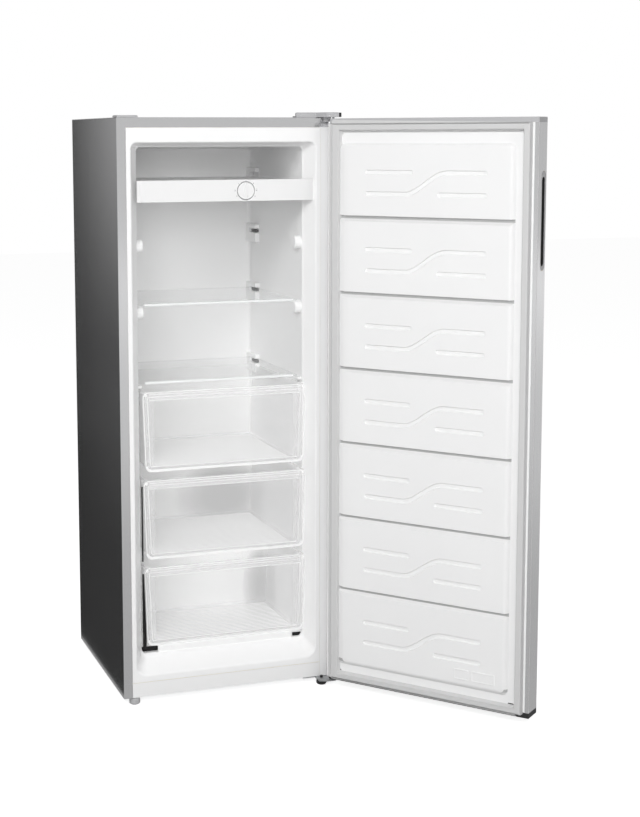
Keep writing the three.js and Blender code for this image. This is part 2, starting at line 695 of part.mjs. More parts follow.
function buildDoor(group) {
  const [inner, outer] = [DOOR_INNER, DOOR_OUTER];
  const bottomJoint = DOOR_BOTTOM + DOOR_CAP;
  const topJoint = DOOR_TOP - DOOR_CAP;
  const gripY = [inner - GRIP.outer, inner - GRIP.inner];
  const oblong = (grow, [y0, y1], [z0, z1], x0, x1) => {
    const radius = ((y1 - y0) / 2 + grow) * 0.98;
    const corners = [
      [y0 - grow, z0 - grow, radius],
      [y1 + grow, z0 - grow, radius],
      [y1 + grow, z1 + grow, radius],
      [y0 - grow, z1 + grow, radius],
    ];
    return bar(roundedOutline(corners, 4).map(({ x, y }) => [x, y]), x0, x1);
  };
  const gripZ = [GRIP.bottom, GRIP.top];

  const skinPlan = (inset, back) =>
    roundedOutline(
      [
        [-DOOR_HALF + inset, outer + inset, DOOR_EDGE - inset],
        [DOOR_HALF - inset, outer + inset, DOOR_EDGE - inset],
        [DOOR_HALF - inset, back, 0],
        [-DOOR_HALF + inset, back, 0],
      ],
      4,
    );
  const prism = (outline, z0, z1) =>
    loft([z0, z1].map((z) => outline.map(({ x, y }) => new THREE.Vector3(x, y, z))));
  const skin = cut(
    prism(skinPlan(0, inner - 1.8), bottomJoint + 0.2, topJoint - 0.2),
    prism(skinPlan(SHEET, inner + 5), bottomJoint - 1, topJoint + 1),
    oblong(0.3, gripY, gripZ, -DOOR_HALF - 1, -DOOR_HALF + 2),
  );
  add(group, "door_skin", skin, paintedSteel);

  const cap = (z0, z1, hollow0, hollow1) =>
    cut(
      join(prism(skinPlan(0, inner), z0, z1), post(PIVOT.x, PIVOT.y, z0, z1, 8, 24)),
      box([-DOOR_HALF + 3, 245], [outer + 3, inner - 3], [hollow0, hollow1]),
      post(PIVOT.x, PIVOT.y, z0 - 5, z1 + 5, BUSH_RADIUS + GAP, 24),
    );
  add(group, "door_top_cap", cap(topJoint, DOOR_TOP, topJoint - 1, DOOR_TOP - 3), greyPlastic);
  add(group, "door_bottom_cap", cap(DOOR_BOTTOM, bottomJoint, DOOR_BOTTOM + 3, bottomJoint + 1), greyPlastic);

  const bush = (z0, z1) =>
    cut(
      post(PIVOT.x, PIVOT.y, z0, z1, BUSH_RADIUS, 24),
      post(PIVOT.x, PIVOT.y, z0 - 1, z1 + 1, PIN_RADIUS + 0.25, 24),
    );
  add(group, "hinge_bush_top", bush(topJoint + 0.5, DOOR_TOP), blackPlastic);
  add(group, "hinge_bush_bottom", bush(DOOR_BOTTOM, bottomJoint - 0.5), blackPlastic);

  const linerHalf = DOOR_HALF - 0.2;
  const linerSheet = box([-linerHalf, linerHalf], [inner - 1.5, inner], [bottomJoint + 0.2, topJoint - 0.2]);
  const linerShell = cut(join(linerSheet, doorField(0)), doorField(1.8));
  const trimmed = cut(linerShell, box([-HALF, HALF], [outer, inner - 1.5], [0, CABINET_TOP]));
  add(group, "door_liner", trimmed, whitePlastic);

  const gripOuter = oblong(-0.3, gripY, gripZ, -DOOR_HALF, -DOOR_HALF + 2.5);
  const slotY = [inner - GRIP_SLOT.outer, inner - GRIP_SLOT.inner];
  const slotZ = [GRIP_SLOT.bottom, GRIP_SLOT.top];
  const gripBody = oblong(2, slotY, slotZ, -DOOR_HALF + 2, -DOOR_HALF + GRIP.depth + 2);
  const grip = cut(join(gripOuter, gripBody), oblong(0, slotY, slotZ, -DOOR_HALF - 1, -DOOR_HALF + GRIP.depth));
  add(group, "door_grip", grip, greyPlastic);

  const coreHalf = DOOR_HALF - SHEET - GAP;
  const core = cut(
    join(
      box([-coreHalf, coreHalf], [outer + DOOR_EDGE + 2, inner - 1.8], [bottomJoint + 0.5, topJoint - 0.5]),
      box([-coreHalf + 6, coreHalf - 6], [outer + SHEET + GAP, inner - 1.8], [bottomJoint + 0.5, topJoint - 0.5]),
      doorField(2.1),
    ),
    oblong(2.4, slotY, slotZ, -DOOR_HALF - 1, -DOOR_HALF + GRIP.depth + 2.4),
    oblong(0.5, gripY, gripZ, -DOOR_HALF - 1, -DOOR_HALF + 3),
  );
  add(group, "door_foam", core, foam);

  const sealHalf = DOOR_HALF - GASKET.outset;
  const sealRect = (inset) => ({
    half: sealHalf - inset,
    bottom: GASKET.bottom + inset,
    top: GASKET.top - inset,
    radius: 4,
  });
  const sealFrame = (inset0, inset1, y0, y1) =>
    cut(
      loft([wallRing(y0, sealRect(inset0), 2), wallRing(y1, sealRect(inset0), 2)]),
      loft([wallRing(y0 - 1, sealRect(inset1), 2), wallRing(y1 + 1, sealRect(inset1), 2)]),
    );
  const seal = join(
    sealFrame(0, GASKET.width, inner + GAP, inner + 6),
    sealFrame(3, GASKET.width - 3, inner + 5, inner + 11),
    sealFrame(1, GASKET.width - 2, inner + 10, -GAP),
  );
  add(group, "door_gasket", seal, gasketVinyl);
}

// ---- The whole freezer ----

const freezer = new THREE.Group();
buildCabinet(freezer);
buildMachine(freezer);
buildControls(freezer);
buildHinges(freezer);
SHELF_HEIGHTS.forEach((top, i) => buildShelf(freezer, i + 1, top));
DRAWERS.forEach(({ top, back }, i) => buildDrawer(freezer, i + 1, top, back));

const doorAboutPivot = new THREE.Group();
doorAboutPivot.position.set(-PIVOT.x, -PIVOT.y, 0);
buildDoor(doorAboutPivot);
const door = new THREE.Group();
door.position.set(PIVOT.x, PIVOT.y, 0);
door.rotation.z = DOOR_OPEN;
door.add(doorAboutPivot);
freezer.add(door);

freezer.updateMatrixWorld(true);
const bounds = new THREE.Box3().setFromObject(freezer, true);
freezer.position.set(-(bounds.min.x + bounds.max.x) / 2, -(bounds.min.y + bounds.max.y) / 2, 0);

export default freezer;
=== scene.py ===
import json
import math

import bmesh
import bpy
import numpy as np
from mathutils import Matrix, Vector


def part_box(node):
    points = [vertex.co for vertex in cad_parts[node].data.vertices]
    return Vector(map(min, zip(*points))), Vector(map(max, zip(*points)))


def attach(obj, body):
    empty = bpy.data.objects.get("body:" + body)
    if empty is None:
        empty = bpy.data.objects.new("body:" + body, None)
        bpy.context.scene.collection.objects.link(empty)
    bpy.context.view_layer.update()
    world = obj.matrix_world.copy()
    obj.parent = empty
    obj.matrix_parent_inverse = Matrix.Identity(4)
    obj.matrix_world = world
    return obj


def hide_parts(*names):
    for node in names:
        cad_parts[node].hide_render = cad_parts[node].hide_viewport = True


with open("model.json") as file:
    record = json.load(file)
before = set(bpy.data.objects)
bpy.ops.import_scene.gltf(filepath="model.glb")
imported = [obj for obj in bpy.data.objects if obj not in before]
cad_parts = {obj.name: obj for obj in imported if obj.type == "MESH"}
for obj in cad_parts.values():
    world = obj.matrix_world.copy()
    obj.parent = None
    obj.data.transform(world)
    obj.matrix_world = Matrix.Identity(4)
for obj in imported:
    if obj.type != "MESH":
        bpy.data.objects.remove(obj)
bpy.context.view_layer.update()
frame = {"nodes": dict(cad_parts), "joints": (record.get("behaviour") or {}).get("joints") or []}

# ---- Camera ----
# A long lens at shoulder height, to the left of the freezer, aimed a little down and to the right.
# The cabinet's own millimetres run from the middle of its front face: x across, y back, z up.

wrap_low, wrap_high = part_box("cabinet_wrap")
MM = 0.001
STAND = Matrix.Translation(((wrap_low.x + wrap_high.x) / 2, wrap_low.y, 0)) @ Matrix.Scale(MM, 4)

EYE = Vector((-1144.5, -3631.0, 1403.7))
YAW, PITCH, ROLL = 0.32686, 0.12086, -0.00289
FOCAL_PIXELS, IMAGE_WIDTH, IMAGE_HEIGHT = 1557.9, 640, 817
AXIS_PIXEL = (259.32, 324.83)  # where the lens axis meets the picture
SENSOR = 36


def placed(name, data):
    """A new object in the scene."""
    made = bpy.data.objects.new(name, data)
    bpy.context.scene.collection.objects.link(made)
    return made


lens = bpy.data.cameras.new("camera")
lens.sensor_width = SENSOR
lens.lens = FOCAL_PIXELS * SENSOR / IMAGE_HEIGHT
lens.shift_x = (IMAGE_WIDTH / 2 - AXIS_PIXEL[0]) / IMAGE_HEIGHT
lens.shift_y = (AXIS_PIXEL[1] - IMAGE_HEIGHT / 2) / IMAGE_HEIGHT
lens.clip_end = 50
ahead = Vector((math.sin(YAW) * math.cos(PITCH), math.cos(YAW) * math.cos(PITCH), -math.sin(PITCH)))
level = Vector((math.cos(YAW), -math.sin(YAW), 0))
lift = level.cross(ahead)
right = level * math.cos(ROLL) + lift * math.sin(ROLL)
upward = right.cross(ahead)
camera = placed("camera", lens)
camera.matrix_world = Matrix.Translation(STAND @ EYE) @ Matrix((right, upward, -ahead)).transposed().to_4x4()
bpy.context.scene.camera = camera

# ---- Studio ----
# A pale floor that runs out into a white surround, even light from the front and above, and a
# dark card at the left and behind, which the metal side of the cabinet mirrors.

bpy.context.scene.view_settings.view_transform = "Standard"


class Socket:
    """A shader value that takes part in Python sums: each operator adds its Math node."""

    def __init__(self, finish, output):
        self.finish = finish
        self.output = output

    def maths(self, operation, *values):
        return self.finish.node("Math", {"operation": operation}, dict(enumerate(values)))

    def __add__(self, other):
        return self.maths("ADD", self, other)

    def __radd__(self, other):
        return self.maths("ADD", other, self)

    def __sub__(self, other):
        return self.maths("SUBTRACT", self, other)

    def __rsub__(self, other):
        return self.maths("SUBTRACT", other, self)

    def __mul__(self, other):
        return self.maths("MULTIPLY", self, other)

    def __rmul__(self, other):
        return self.maths("MULTIPLY", other, self)

    def __gt__(self, other):
        return self.maths("GREATER_THAN", self, other)

    def __lt__(self, other):
        return self.maths("LESS_THAN", self, other)

    def limited(self):
        """The value, held between 0 and 1."""
        return self.finish.node("Clamp", {}, {"Value": self})


class Finish:
    """A node tree of one material, or of the world, and the one way to add nodes to it."""

    def __init__(self, owner):
        owner.use_nodes = True
        self.tree = owner.node_tree
        self.owner = owner

    def node(self, kind, settings, inputs, output=0):
        added = self.tree.nodes.new("ShaderNode" + kind)
        for setting, value in settings.items():
            setattr(added, setting, value)
        for name, value in inputs.items():
            self.feed(added.inputs[name], value)
        return Socket(self, added.outputs[output])

    def feed(self, socket, value):
        if isinstance(value, Socket):
            self.tree.links.new(value.output, socket)
        elif socket.type == "RGBA" and not isinstance(value, float):
            socket.default_value = (*value, 1)
        else:
            socket.default_value = value

    def coat(self, **values):
        """Feeds the shader's sockets, named with _ for a space."""
        for name, value in values.items():
            self.feed(self.shader.inputs[name.replace("_", " ")], value)

    def places(self):
        """The x, y and z of a point on the piece, in metres."""
        place = self.node("TexCoord", {}, {}, output="Object")
        return [self.node("SeparateXYZ", {}, {0: place}, output=axis) for axis in "XYZ"]

    def views(self):
        """1 where the camera, a mirror or a glass sees the surface, each on its own."""
        kinds = ("Camera", "Glossy", "Transmission")
        return [self.node("LightPath", {}, {}, output=f"Is {kind} Ray") for kind in kinds]

    def blend(self, factor, first, second):
        """One colour or the other, by a factor from 0 to 1."""
        colours = {0: factor, 6: first, 7: second}
        return self.node("Mix", {"data_type": "RGBA"}, colours, output=2)

    def ramp(self, value, stops):
        """Greys by position, joined smoothly."""
        added = self.tree.nodes.new("ShaderNodeValToRGB")
        added.color_ramp.interpolation = "EASE"
        elements = added.color_ramp.elements
        while len(elements) < len(stops):
            elements.new(0.5)
        for element, (position, grey) in zip(elements, stops):
            element.position = position
            element.color = (grey, grey, grey, 1)
        self.feed(added.inputs[0], value)
        return Socket(self, added.outputs[0])


FLOOR_SIZE = 30
FLOOR_GREY = 0.45
reach = FLOOR_SIZE / 2
floor_corners = [(-reach, -reach, 0), (reach, -reach, 0), (reach, reach, 0), (-reach, reach, 0)]
floor_mesh = bpy.data.meshes.new("floor")
floor_mesh.from_pydata(floor_corners, [], [(0, 1, 2, 3)])
floor = placed("floor", floor_mesh)
floor_paint = Finish(bpy.data.materials.new("floor_paint"))
floor_mesh.materials.append(floor_paint.owner)
floor_paint.shader = floor_paint.tree.nodes["Principled BSDF"]
floor_paint.coat(Base_Color=(FLOOR_GREY,) * 3, Roughness=0.9)

# To the camera the floor is white but for the contact shadow; in the metal it darkens near the freezer.
TONE_REACH = 12
NEAR_TONES = [(0.0, 0.34), (0.07, 0.41), (0.32, 0.57), (1.0, 0.82)]
floor_place = floor_paint.node("TexCoord", {}, {}, output="Object")
from_middle = floor_paint.node("VectorMath", {"operation": "LENGTH"}, {0: floor_place}, output="Value")
near_tone = floor_paint.ramp(from_middle * (1 / TONE_REACH), NEAR_TONES)
near_glow = floor_paint.node("Emission", {}, {"Color": near_tone, "Strength": 1.0})
lit = Socket(floor_paint, floor_paint.shader.outputs[0])
white_glow = floor_paint.node("Emission", {}, {"Color": (1, 1, 1), "Strength": 0.72})
pale = floor_paint.node("BsdfDiffuse", {}, {"Color": (0.95, 0.95, 0.95)})
shown = floor_paint.node("AddShader", {}, {0: pale, 1: white_glow})
camera_view, metal_view, glass_view = floor_paint.views()
straight = floor_paint.node("MixShader", {}, {0: (camera_view + glass_view).limited(), 1: lit, 2: shown})
mixed = floor_paint.node("MixShader", {}, {0: metal_view, 1: straight, 2: near_glow})
floor_paint.feed(floor_paint.tree.nodes["Material Output"].inputs["Surface"], mixed)

# The surround is white to the camera and through glass, and dimmer as a light and in the metal.
WORLD_LIGHT, WORLD_IN_METAL = 0.27, 0.52
world = bpy.data.worlds.new("surround")
bpy.context.scene.world = world
air = Finish(world)
background = air.tree.nodes["Background"]
in_camera, in_metal, in_glass = air.views()
direct = (in_camera + in_glass).limited() * (1 - WORLD_LIGHT)
air.feed(background.inputs["Strength"], direct + in_metal * (WORLD_IN_METAL - WORLD_LIGHT) + WORLD_LIGHT)
air.feed(background.inputs["Color"], (1, 1, 1))

# Three soft boxes: one in front and to the left, one high at the left, a weaker one at the right.
# Each has its place in millimetres, its size in metres and its power in watts.
LAMP_AIM = Vector((0, 0, 760))
LAMPS = {
    "front_lamp": ((-1100, -3600, 1550), 1.6, 53),
    "key_lamp": ((-2300, -2750, 3200), 1.4, 66),
    "fill_lamp": ((1700, -3200, 2000), 1.6, 18),
}
for lamp_name, (lamp_from, lamp_size, lamp_power) in LAMPS.items():
    lamp_data = bpy.data.lights.new(lamp_name, "AREA")
    lamp_data.size = lamp_size
    lamp_data.energy = lamp_power
    lamp = placed(lamp_name, lamp_data)
    lamp.location = STAND @ Vector(lamp_from)
    lamp.rotation_euler = (LAMP_AIM - Vector(lamp_from)).to_track_quat("-Z", "Y").to_euler()
    lamp.visible_camera = False
    lamp.visible_glossy = False

# The dark card: a strip of floor and a wall, both out of the camera's sight.
CARD = {"near": -285, "wall": -560, "front": 40, "back": 3400, "low": 4, "top": 2600}
CARD_TONES = [(0.0, 0.015), (0.25, 0.06), (0.6, 0.34), (1.0, 0.62)]
CARD_BLACK = (0.015, 0.015, 0.015)
FADE_START, FADE_LENGTH = 1.1, 0.8
card_edges = ((CARD["near"], CARD["low"]), (CARD["wall"], CARD["low"]), (CARD["wall"], CARD["top"]))
card_points = [STAND @ Vector((x, y, z)) for x, z in card_edges for y in (CARD["front"], CARD["back"])]
card_mesh = bpy.data.meshes.new("dark_card")
card_mesh.from_pydata(card_points, [], [(0, 1, 3, 2), (2, 3, 5, 4)])
card = placed("dark_card", card_mesh)
card_cloth = Finish(bpy.data.materials.new("card_cloth"))
card_mesh.materials.append(card_cloth.owner)
_, card_depth, card_height = card_cloth.places()
card_rise = card_cloth.ramp(card_height * (1000 / CARD["top"]), CARD_TONES)
card_fade = ((card_depth - STAND.translation.y - FADE_START) * (1 / FADE_LENGTH)).limited()
card_tone = card_cloth.blend(card_fade, card_rise, CARD_BLACK)
card_glow = card_cloth.node("Emission", {}, {"Color": card_tone, "Strength": 1.0})
card_cloth.feed(card_cloth.tree.nodes["Material Output"].inputs["Surface"], card_glow)
card.visible_camera = False
card.visible_shadow = False
card.visible_diffuse = False

# ---- Cabinet wrap ----
# One sheet of silver-painted steel, folded round the two sides and the top and turned in round
# the front, where the corners are mitred. A hem stiffens the rear edge behind the back panel.


def form(points, faces):
    """A closed mesh whose faces point outwards, in the cabinet's millimetres."""
    mesh = bpy.data.meshes.new("form")
    mesh.from_pydata([tuple(point) for point in points], [], faces)
    shape = bmesh.new()
    shape.from_mesh(mesh)
    bmesh.ops.remove_doubles(shape, verts=shape.verts, dist=1e-4)
    bmesh.ops.recalc_face_normals(shape, faces=shape.faces)
    shape.to_mesh(mesh)
    shape.free()
    return mesh


def rounded(mesh, radius, along="xyz", where=lambda middle: True, steps=3):
    """Rounds the sharp edges that run along the named axes and whose middle is wanted."""
    shape = bmesh.new()
    shape.from_mesh(mesh)
    picked = []
    for edge in shape.edges:
        if edge.calc_face_angle(0) < math.radians(25):
            continue
        run = edge.verts[1].co - edge.verts[0].co
        axis = "xyz"[max(range(3), key=lambda i: abs(run[i]))]
        if axis in along and where((edge.verts[0].co + edge.verts[1].co) / 2):
            picked.append(edge)
    bmesh.ops.bevel(
        shape, geom=picked, offset=radius, segments=steps, profile=0.5, affect="EDGES", clamp_overlap=True
    )
    shape.to_mesh(mesh)
    shape.free()
    return mesh


def block(x, y, z, radius=0, along="xyz", where=lambda middle: True, steps=3):
    """A box between the given pairs, with rounded edges."""
    points = [(i, j, k) for i in x for j in y for k in z]
    faces = [(0, 1, 3, 2), (4, 6, 7, 5), (0, 4, 5, 1), (2, 3, 7, 6), (0, 2, 6, 4), (1, 5, 7, 3)]
    mesh = form(points, faces)
    return rounded(mesh, radius, along, where, steps) if radius else mesh


def joined(*meshes):
    """Several meshes as one, side by side."""
    shape = bmesh.new()
    for mesh in meshes:
        shape.from_mesh(mesh)
    whole = bpy.data.meshes.new("joined")
    shape.to_mesh(whole)
    shape.free()
    return whole


def mesh_of(holder):
    """The finished mesh of a helper object, which is then removed."""
    made = bpy.data.meshes.new_from_object(holder.evaluated_get(bpy.context.evaluated_depsgraph_get()))
    bpy.data.objects.remove(holder)
    return made


def carve(mesh, tool, operation="DIFFERENCE", crossing=False):
    """The mesh less the tool, or with it added; crossing is set where the tool's own bodies overlap."""
    host, guest = (placed("carving", each) for each in (mesh, tool))
    step = host.modifiers.new("carve", "BOOLEAN")
    step.operation = operation
    step.solver = "EXACT"
    step.use_self = crossing
    step.object = guest
    carved = mesh_of(host)
    bpy.data.objects.remove(guest)
    return carved


def piece(name, mesh, finish, body, slot, *nodes, place=STAND, sharp=32):
    """Finishes a mesh in millimetres as one piece that stands for the named nodes."""
    mesh.transform(place)
    mesh.materials.clear()
    mesh.materials.append(finish.owner)
    mesh.shade_smooth()
    mesh.set_sharp_from_angle(angle=math.radians(sharp))
    mesh.name = name
    made = placed(name, mesh)
    even = made.modifiers.new("even shading", "WEIGHTED_NORMAL")
    even.keep_sharp = True
    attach(made, body)
    made.visible_shadow = slot not in ("clear_plastic", "shelf_glass")
    if nodes:
        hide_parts(*nodes)
    return made


def dress(finish, *nodes):
    """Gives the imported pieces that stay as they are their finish."""
    for node in nodes:
        kept = frame["nodes"][node]
        kept.data.materials.clear()
        kept.data.materials.append(finish.owner)


def new_finish(name, colour, roughness, **constants):
    """A material whose shader has its plain values set."""
    finish = Finish(bpy.data.materials.new(name))
    finish.shader = finish.tree.nodes["Principled BSDF"]
    finish.place = finish.node("TexCoord", {}, {}, output="Object")
    finish.coat(Base_Color=colour, Roughness=roughness, **constants)
    return finish


def grain(finish, size, detail=2.0, stretch=(1, 1, 1)):
    """Soft noise from 0 to 1 with spots of about the given size in metres, drawn out by stretch."""
    spread = finish.node("VectorMath", {"operation": "DIVIDE"}, {0: finish.place, 1: stretch})
    return finish.node("TexNoise", {}, {"Vector": spread, "Scale": 1 / size, "Detail": detail})


def relief(finish, height, depth, strength=1.0):
    """Lets a height from 0 to 1 show as relief of the given depth in metres."""
    finish.coat(Normal=finish.node("Bump", {}, {"Height": height, "Distance": depth, "Strength": strength}))


SILVER_METAL = 0.93


def silver_finish(name):
    """Silver paint with a fine flake and wide clouds, with its colour and its roughness."""
    finish = new_finish(name, (0.88, 0.88, 0.89), 0.16, Metallic=SILVER_METAL, Specular_IOR_Level=0.5)
    flake, cloud = grain(finish, 0.0009, detail=4.0), grain(finish, 0.18, stretch=(1, 1, 3))
    relief(finish, flake, 0.00001, 0.06)
    colour = finish.blend((flake * 1.6 - 0.3).limited(), (0.85, 0.85, 0.86), (0.91, 0.91, 0.92))
    return finish, colour, cloud * 0.04 + flake * 0.01 + 0.125


silver, silver_colour, silver_roughness = silver_finish("silver_paint")
silver.coat(Base_Color=silver_colour, Roughness=silver_roughness)

CABINET = {"half": 270, "depth": 500, "top": 1448, "bottom": 18}
SHEET = 0.8
FLANGE = {"side": 22.5, "top": 24}
KICK_TOP = 55.5
half, deep, top, bottom = (CABINET[key] for key in ("half", "depth", "top", "bottom"))


def folded_box(inset, radius, y0, y1, z0):
    """The outside of the wrap, or its inside when inset by the sheet."""
    body = block((inset - half, half - inset), (y0, y1), (z0, top - inset))
    rounded(body, radius, "y", lambda m: m.z > top - 10, 4)
    return rounded(body, radius * 0.6, "xz", lambda m: m.y < y0 + 1 and m.z > z0 + 1, 3)


wrap = folded_box(0, 3, 0, deep, bottom)
inside = folded_box(SHEET, 3 - SHEET, SHEET, deep + 5, bottom - 5)
opening = block((FLANGE["side"] - half, half - FLANGE["side"]), (-1, 2), (0, top - FLANGE["top"]))
HEM = {"wide": 3.4, "front": deep - 4.5, "back": deep - 0.2}
mid_sheet = half - SHEET * 0.5
hem_back = carve(
    block((-mid_sheet, mid_sheet), (HEM["front"], HEM["back"]), (bottom, top - SHEET * 0.5)),
    block((HEM["wide"] - half, half - HEM["wide"]), (deep - 6, deep + 2), (0, top - HEM["wide"])),
)
wrap = carve(carve(wrap, inside), hem_back, "UNION")
# The mitre seams at the top corners, and the level seams above the kick plate.
SEAM = {"deep": 0.45, "mitre_half": 0.35, "level_half": 0.45}
seams = []
for side in (-1, 1):
    run = Vector((FLANGE["side"], 0, -FLANGE["top"]))
    cut_seam = block((-1, run.length + 1), (-1, SEAM["deep"]), (-SEAM["mitre_half"], SEAM["mitre_half"]))
    turn = Matrix.Rotation(-math.atan2(run.z, run.x), 4, "Y")
    cut_seam.transform(Matrix.Translation((-half, 0, top)) @ turn)
    if side > 0:
        cut_seam.transform(Matrix.Scale(-1, 4, (1, 0, 0)))
        cut_seam.flip_normals()
    seams.append(cut_seam)
    ends = sorted((side * (half - FLANGE["side"] - 1), side * (half + 1)))
    level = (KICK_TOP - SEAM["level_half"], KICK_TOP + SEAM["level_half"])
    seams.append(block(ends, (-1, SEAM["deep"]), level))
wrap = carve(carve(wrap, opening), joined(*seams))

# On the hinge side the turn-in is a matte white as bright as the liner beside it, up to the top corner.
wrap_paint, wrap_colour, wrap_roughness = silver_finish("wrap_paint")
along, inward, above = wrap_paint.places()
side_edge = STAND @ Vector((half - FLANGE["side"] - 0.2, 0.9, top - FLANGE["top"]))
white_part = (along > side_edge.x) * (inward < side_edge.y) * (above < side_edge.z)
wrap_paint.coat(
    Base_Color=wrap_paint.blend(white_part, wrap_colour, (0.92, 0.92, 0.92)),
    Metallic=SILVER_METAL - white_part * SILVER_METAL,
    Roughness=wrap_roughness + white_part * 0.25,
)
piece("cabinet_wrap_skin", wrap, wrap_paint, "cabinet", "silver_steel", "cabinet_wrap")

# ---- Inner liner ----
# Vacuum-formed white polystyrene: a flat border, a flared mouth and a tapering cavity, with moulded
# runners for the drawers, rests for the shelves and a step over the machine compartment.


def corner_outline(corners, steps=6):
    """A convex outline with rounded corners: [u, v, radius] each, anticlockwise."""
    outline = []
    for i, (u, v, radius) in enumerate(corners):
        corner = Vector((u, v))
        if not radius:
            outline.append(corner)
            continue
        before = (Vector(corners[i - 1][:2]) - corner).normalized()
        after = (Vector(corners[(i + 1) % len(corners)][:2]) - corner).normalized()
        half_angle = before.angle(after) / 2
        centre = corner + (before + after).normalized() * (radius / math.sin(half_angle))
        start = corner + before * (radius / math.tan(half_angle)) - centre
        turn = math.pi - 2 * half_angle
        for k in range(steps + 1):
            outline.append(centre + Matrix.Rotation(turn * k / steps, 2) @ start)
    return outline


def wall_ring(y, half, low, high, radius, low_half=None, steps=6):
    """A rounded rectangle, or a trapezoid, in the plane y."""
    low_half = half if low_half is None else low_half
    corners = [(low, -low_half, radius), (high, -half, radius), (high, half, radius), (low, low_half, radius)]
    return [Vector((x, y, z)) for z, x in corner_outline(corners, steps)]


def floor_ring(z, front_half, back_half, y0, y1, radius, steps=6):
    """A rounded rectangle, or a trapezoid, in the plane z."""
    corners = [
        (-front_half, y0, radius), (front_half, y0, radius), (back_half, y1, radius), (-back_half, y1, radius)
    ]
    return [Vector((x, y, z)) for x, y in corner_outline(corners, steps)]


def loft(rings):
    """A closed body through rings of equal count."""
    count = len(rings[0])
    faces = [
        (r * count + i, r * count + (i + 1) % count, (r + 1) * count + (i + 1) % count, (r + 1) * count + i)
        for r in range(len(rings) - 1)
        for i in range(count)
    ]
    last = (len(rings) - 1) * count
    faces += [tuple(range(count)), tuple(range(last, last + count))]
    return form([point for ring in rings for point in ring], faces)


def lathe(profile, sides=40, axis="z", at=(0, 0, 0)):
    """A turned body; the profile holds (radius, height) pairs and starts and ends on the axis."""
    points, faces = [], []
    for radius, height in profile:
        for k in range(sides):
            angle = 2 * math.pi * k / sides
            points.append((radius * math.cos(angle), radius * math.sin(angle), height))
    for r in range(len(profile) - 1):
        for k in range(sides):
            j = (k + 1) % sides
            faces.append((r * sides + k, r * sides + j, (r + 1) * sides + j, (r + 1) * sides + k))
    mesh = form(points, faces)
    quarter = math.pi / 2
    to_axis = {"z": Matrix(), "y": Matrix.Rotation(-quarter, 4, "X"), "x": Matrix.Rotation(quarter, 4, "Y")}
    mesh.transform(Matrix.Translation(at) @ to_axis[axis])
    return mesh


def textured(name, colour, roughness, size, depth, strength=1.0, spread=0.0, **constants):
    """A finish with a fine relief; its roughness rises with the same grain by the given spread."""
    finish = new_finish(name, colour, roughness, **constants)
    fine = grain(finish, size)
    relief(finish, fine, depth, strength)
    if spread:
        finish.coat(Roughness=fine * spread + roughness)
    return finish


white_liner = new_finish("liner_polystyrene", (0.9, 0.9, 0.9), 0.32, Specular_IOR_Level=0.45)
skin_grain = grain(white_liner, 0.004, detail=3.0)
liner_cloud = grain(white_liner, 0.25)
liner_white = white_liner.blend(liner_cloud, (0.955, 0.955, 0.955), (0.98, 0.98, 0.98))
# Painted shade: the wall is painted darker low down at the back right, behind the second and third
# drawer, where shade falls: the middle of each patch, how far it runs out each way, and its strength.
PAINTED_SHADE_PATCHES = (((130, 430, 405), (150, 150, 110), 1.1), ((188, 287, 185), (58, 80, 125), 1.0))
liner_place = white_liner.places()
liner_painted_shade = 0
for middle, size, strength in PAINTED_SHADE_PATCHES:
    middle_at = STAND @ Vector(middle)
    spans = [(place - at) * (1000 / span) for place, at, span in zip(liner_place, middle_at, size)]
    liner_painted_shade = (1 - sum(span * span for span in spans)).limited() * strength + liner_painted_shade
# The painted shade turns the liner's white towards grey.
liner_colour = white_liner.blend(liner_painted_shade, liner_white, (0.3, 0.3, 0.3))
white_liner.coat(Base_Color=liner_colour, Roughness=skin_grain * 0.1 + 0.28)
relief(white_liner, skin_grain, 0.00005, 0.4)

MOUTH = {"half": 236, "low": 72, "high": 1388, "radius": 15, "low_radius": 26}
THROAT = {"half": 216, "low": 106, "high": 1379, "radius": 10, "low_radius": 18}
CAVITY = {"half": 213.5, "low": 116, "high": 1377, "radius": 11, "low_radius": 14}
BACK = {"half": 207, "low": 116, "high": 1373, "radius": 11, "low_radius": 14}
THROAT_Y, CAVITY_Y, BACK_Y = 37, 40, 435
STEP_FRONT, STEP_TOP = 285, 310
LINER_WALL = 1.8
EDGE_ROUND = 3.0
BACK_ROUND = 10

SHELF_TOPS = (994, 801)
GLASS = 4
SLOT_HEIGHTS = (1302, 1150, 990, 794)
# Mouldings of the side walls, and how far from the middle of the cavity each of them reaches in.
KNOB = {"radius": 16.2, "reach": 196.5, "depth": 57, "middles": (1137, 973.2), "edge": 3.5}
PAD = {"reach": 195.5, "front": 358, "back": 460, "low": 33, "high": 16}
NICHE = {"reach": 190, "deep": 206.8, "front": 350, "back": 402, "low": 7, "high": 5}
# The slot insert is a dark fill that paints shade into the back of each slot.
SLOT_SHADE_INSERT = {"reach": 198, "deep": 206.6, "front": 356.5, "back": 394, "low": 5.2, "high": 1.6}
FRONT_REST = {"reach": 203, "front": 44, "back": 68, "thick": 7}
BACK_REST = {"reach": 200, "front": 392, "back": 405, "thick": 9}
RIDGE = {"left": -170, "right": 188, "front": 42, "back": 54, "low": 96, "high": 132}
DRAWER_TOPS = (783, 563, 343)
DRAWER_BACKS = (395, 395, 272)
RUNNER = {"reach": 6, "front": 60, "past": 4, "low": 20, "high": 5.5}
INTO_WALL, IN_SIGHT = 240, 232


def between(first, second, share):
    return {key: first[key] + (second[key] - first[key]) * share for key in first}


def grown_ring(y, section, grow):
    half, low, high = section["half"] + grow, section["low"] - grow, section["high"] + grow
    low_radius, high_radius = section["low_radius"] + grow, section["radius"] + grow
    corners = [
        (low, -half, low_radius), (high, -half, high_radius),
        (high, half, high_radius), (low, half, low_radius),
    ]
    return [Vector((x, y, z)) for z, x in corner_outline(corners, 6)]


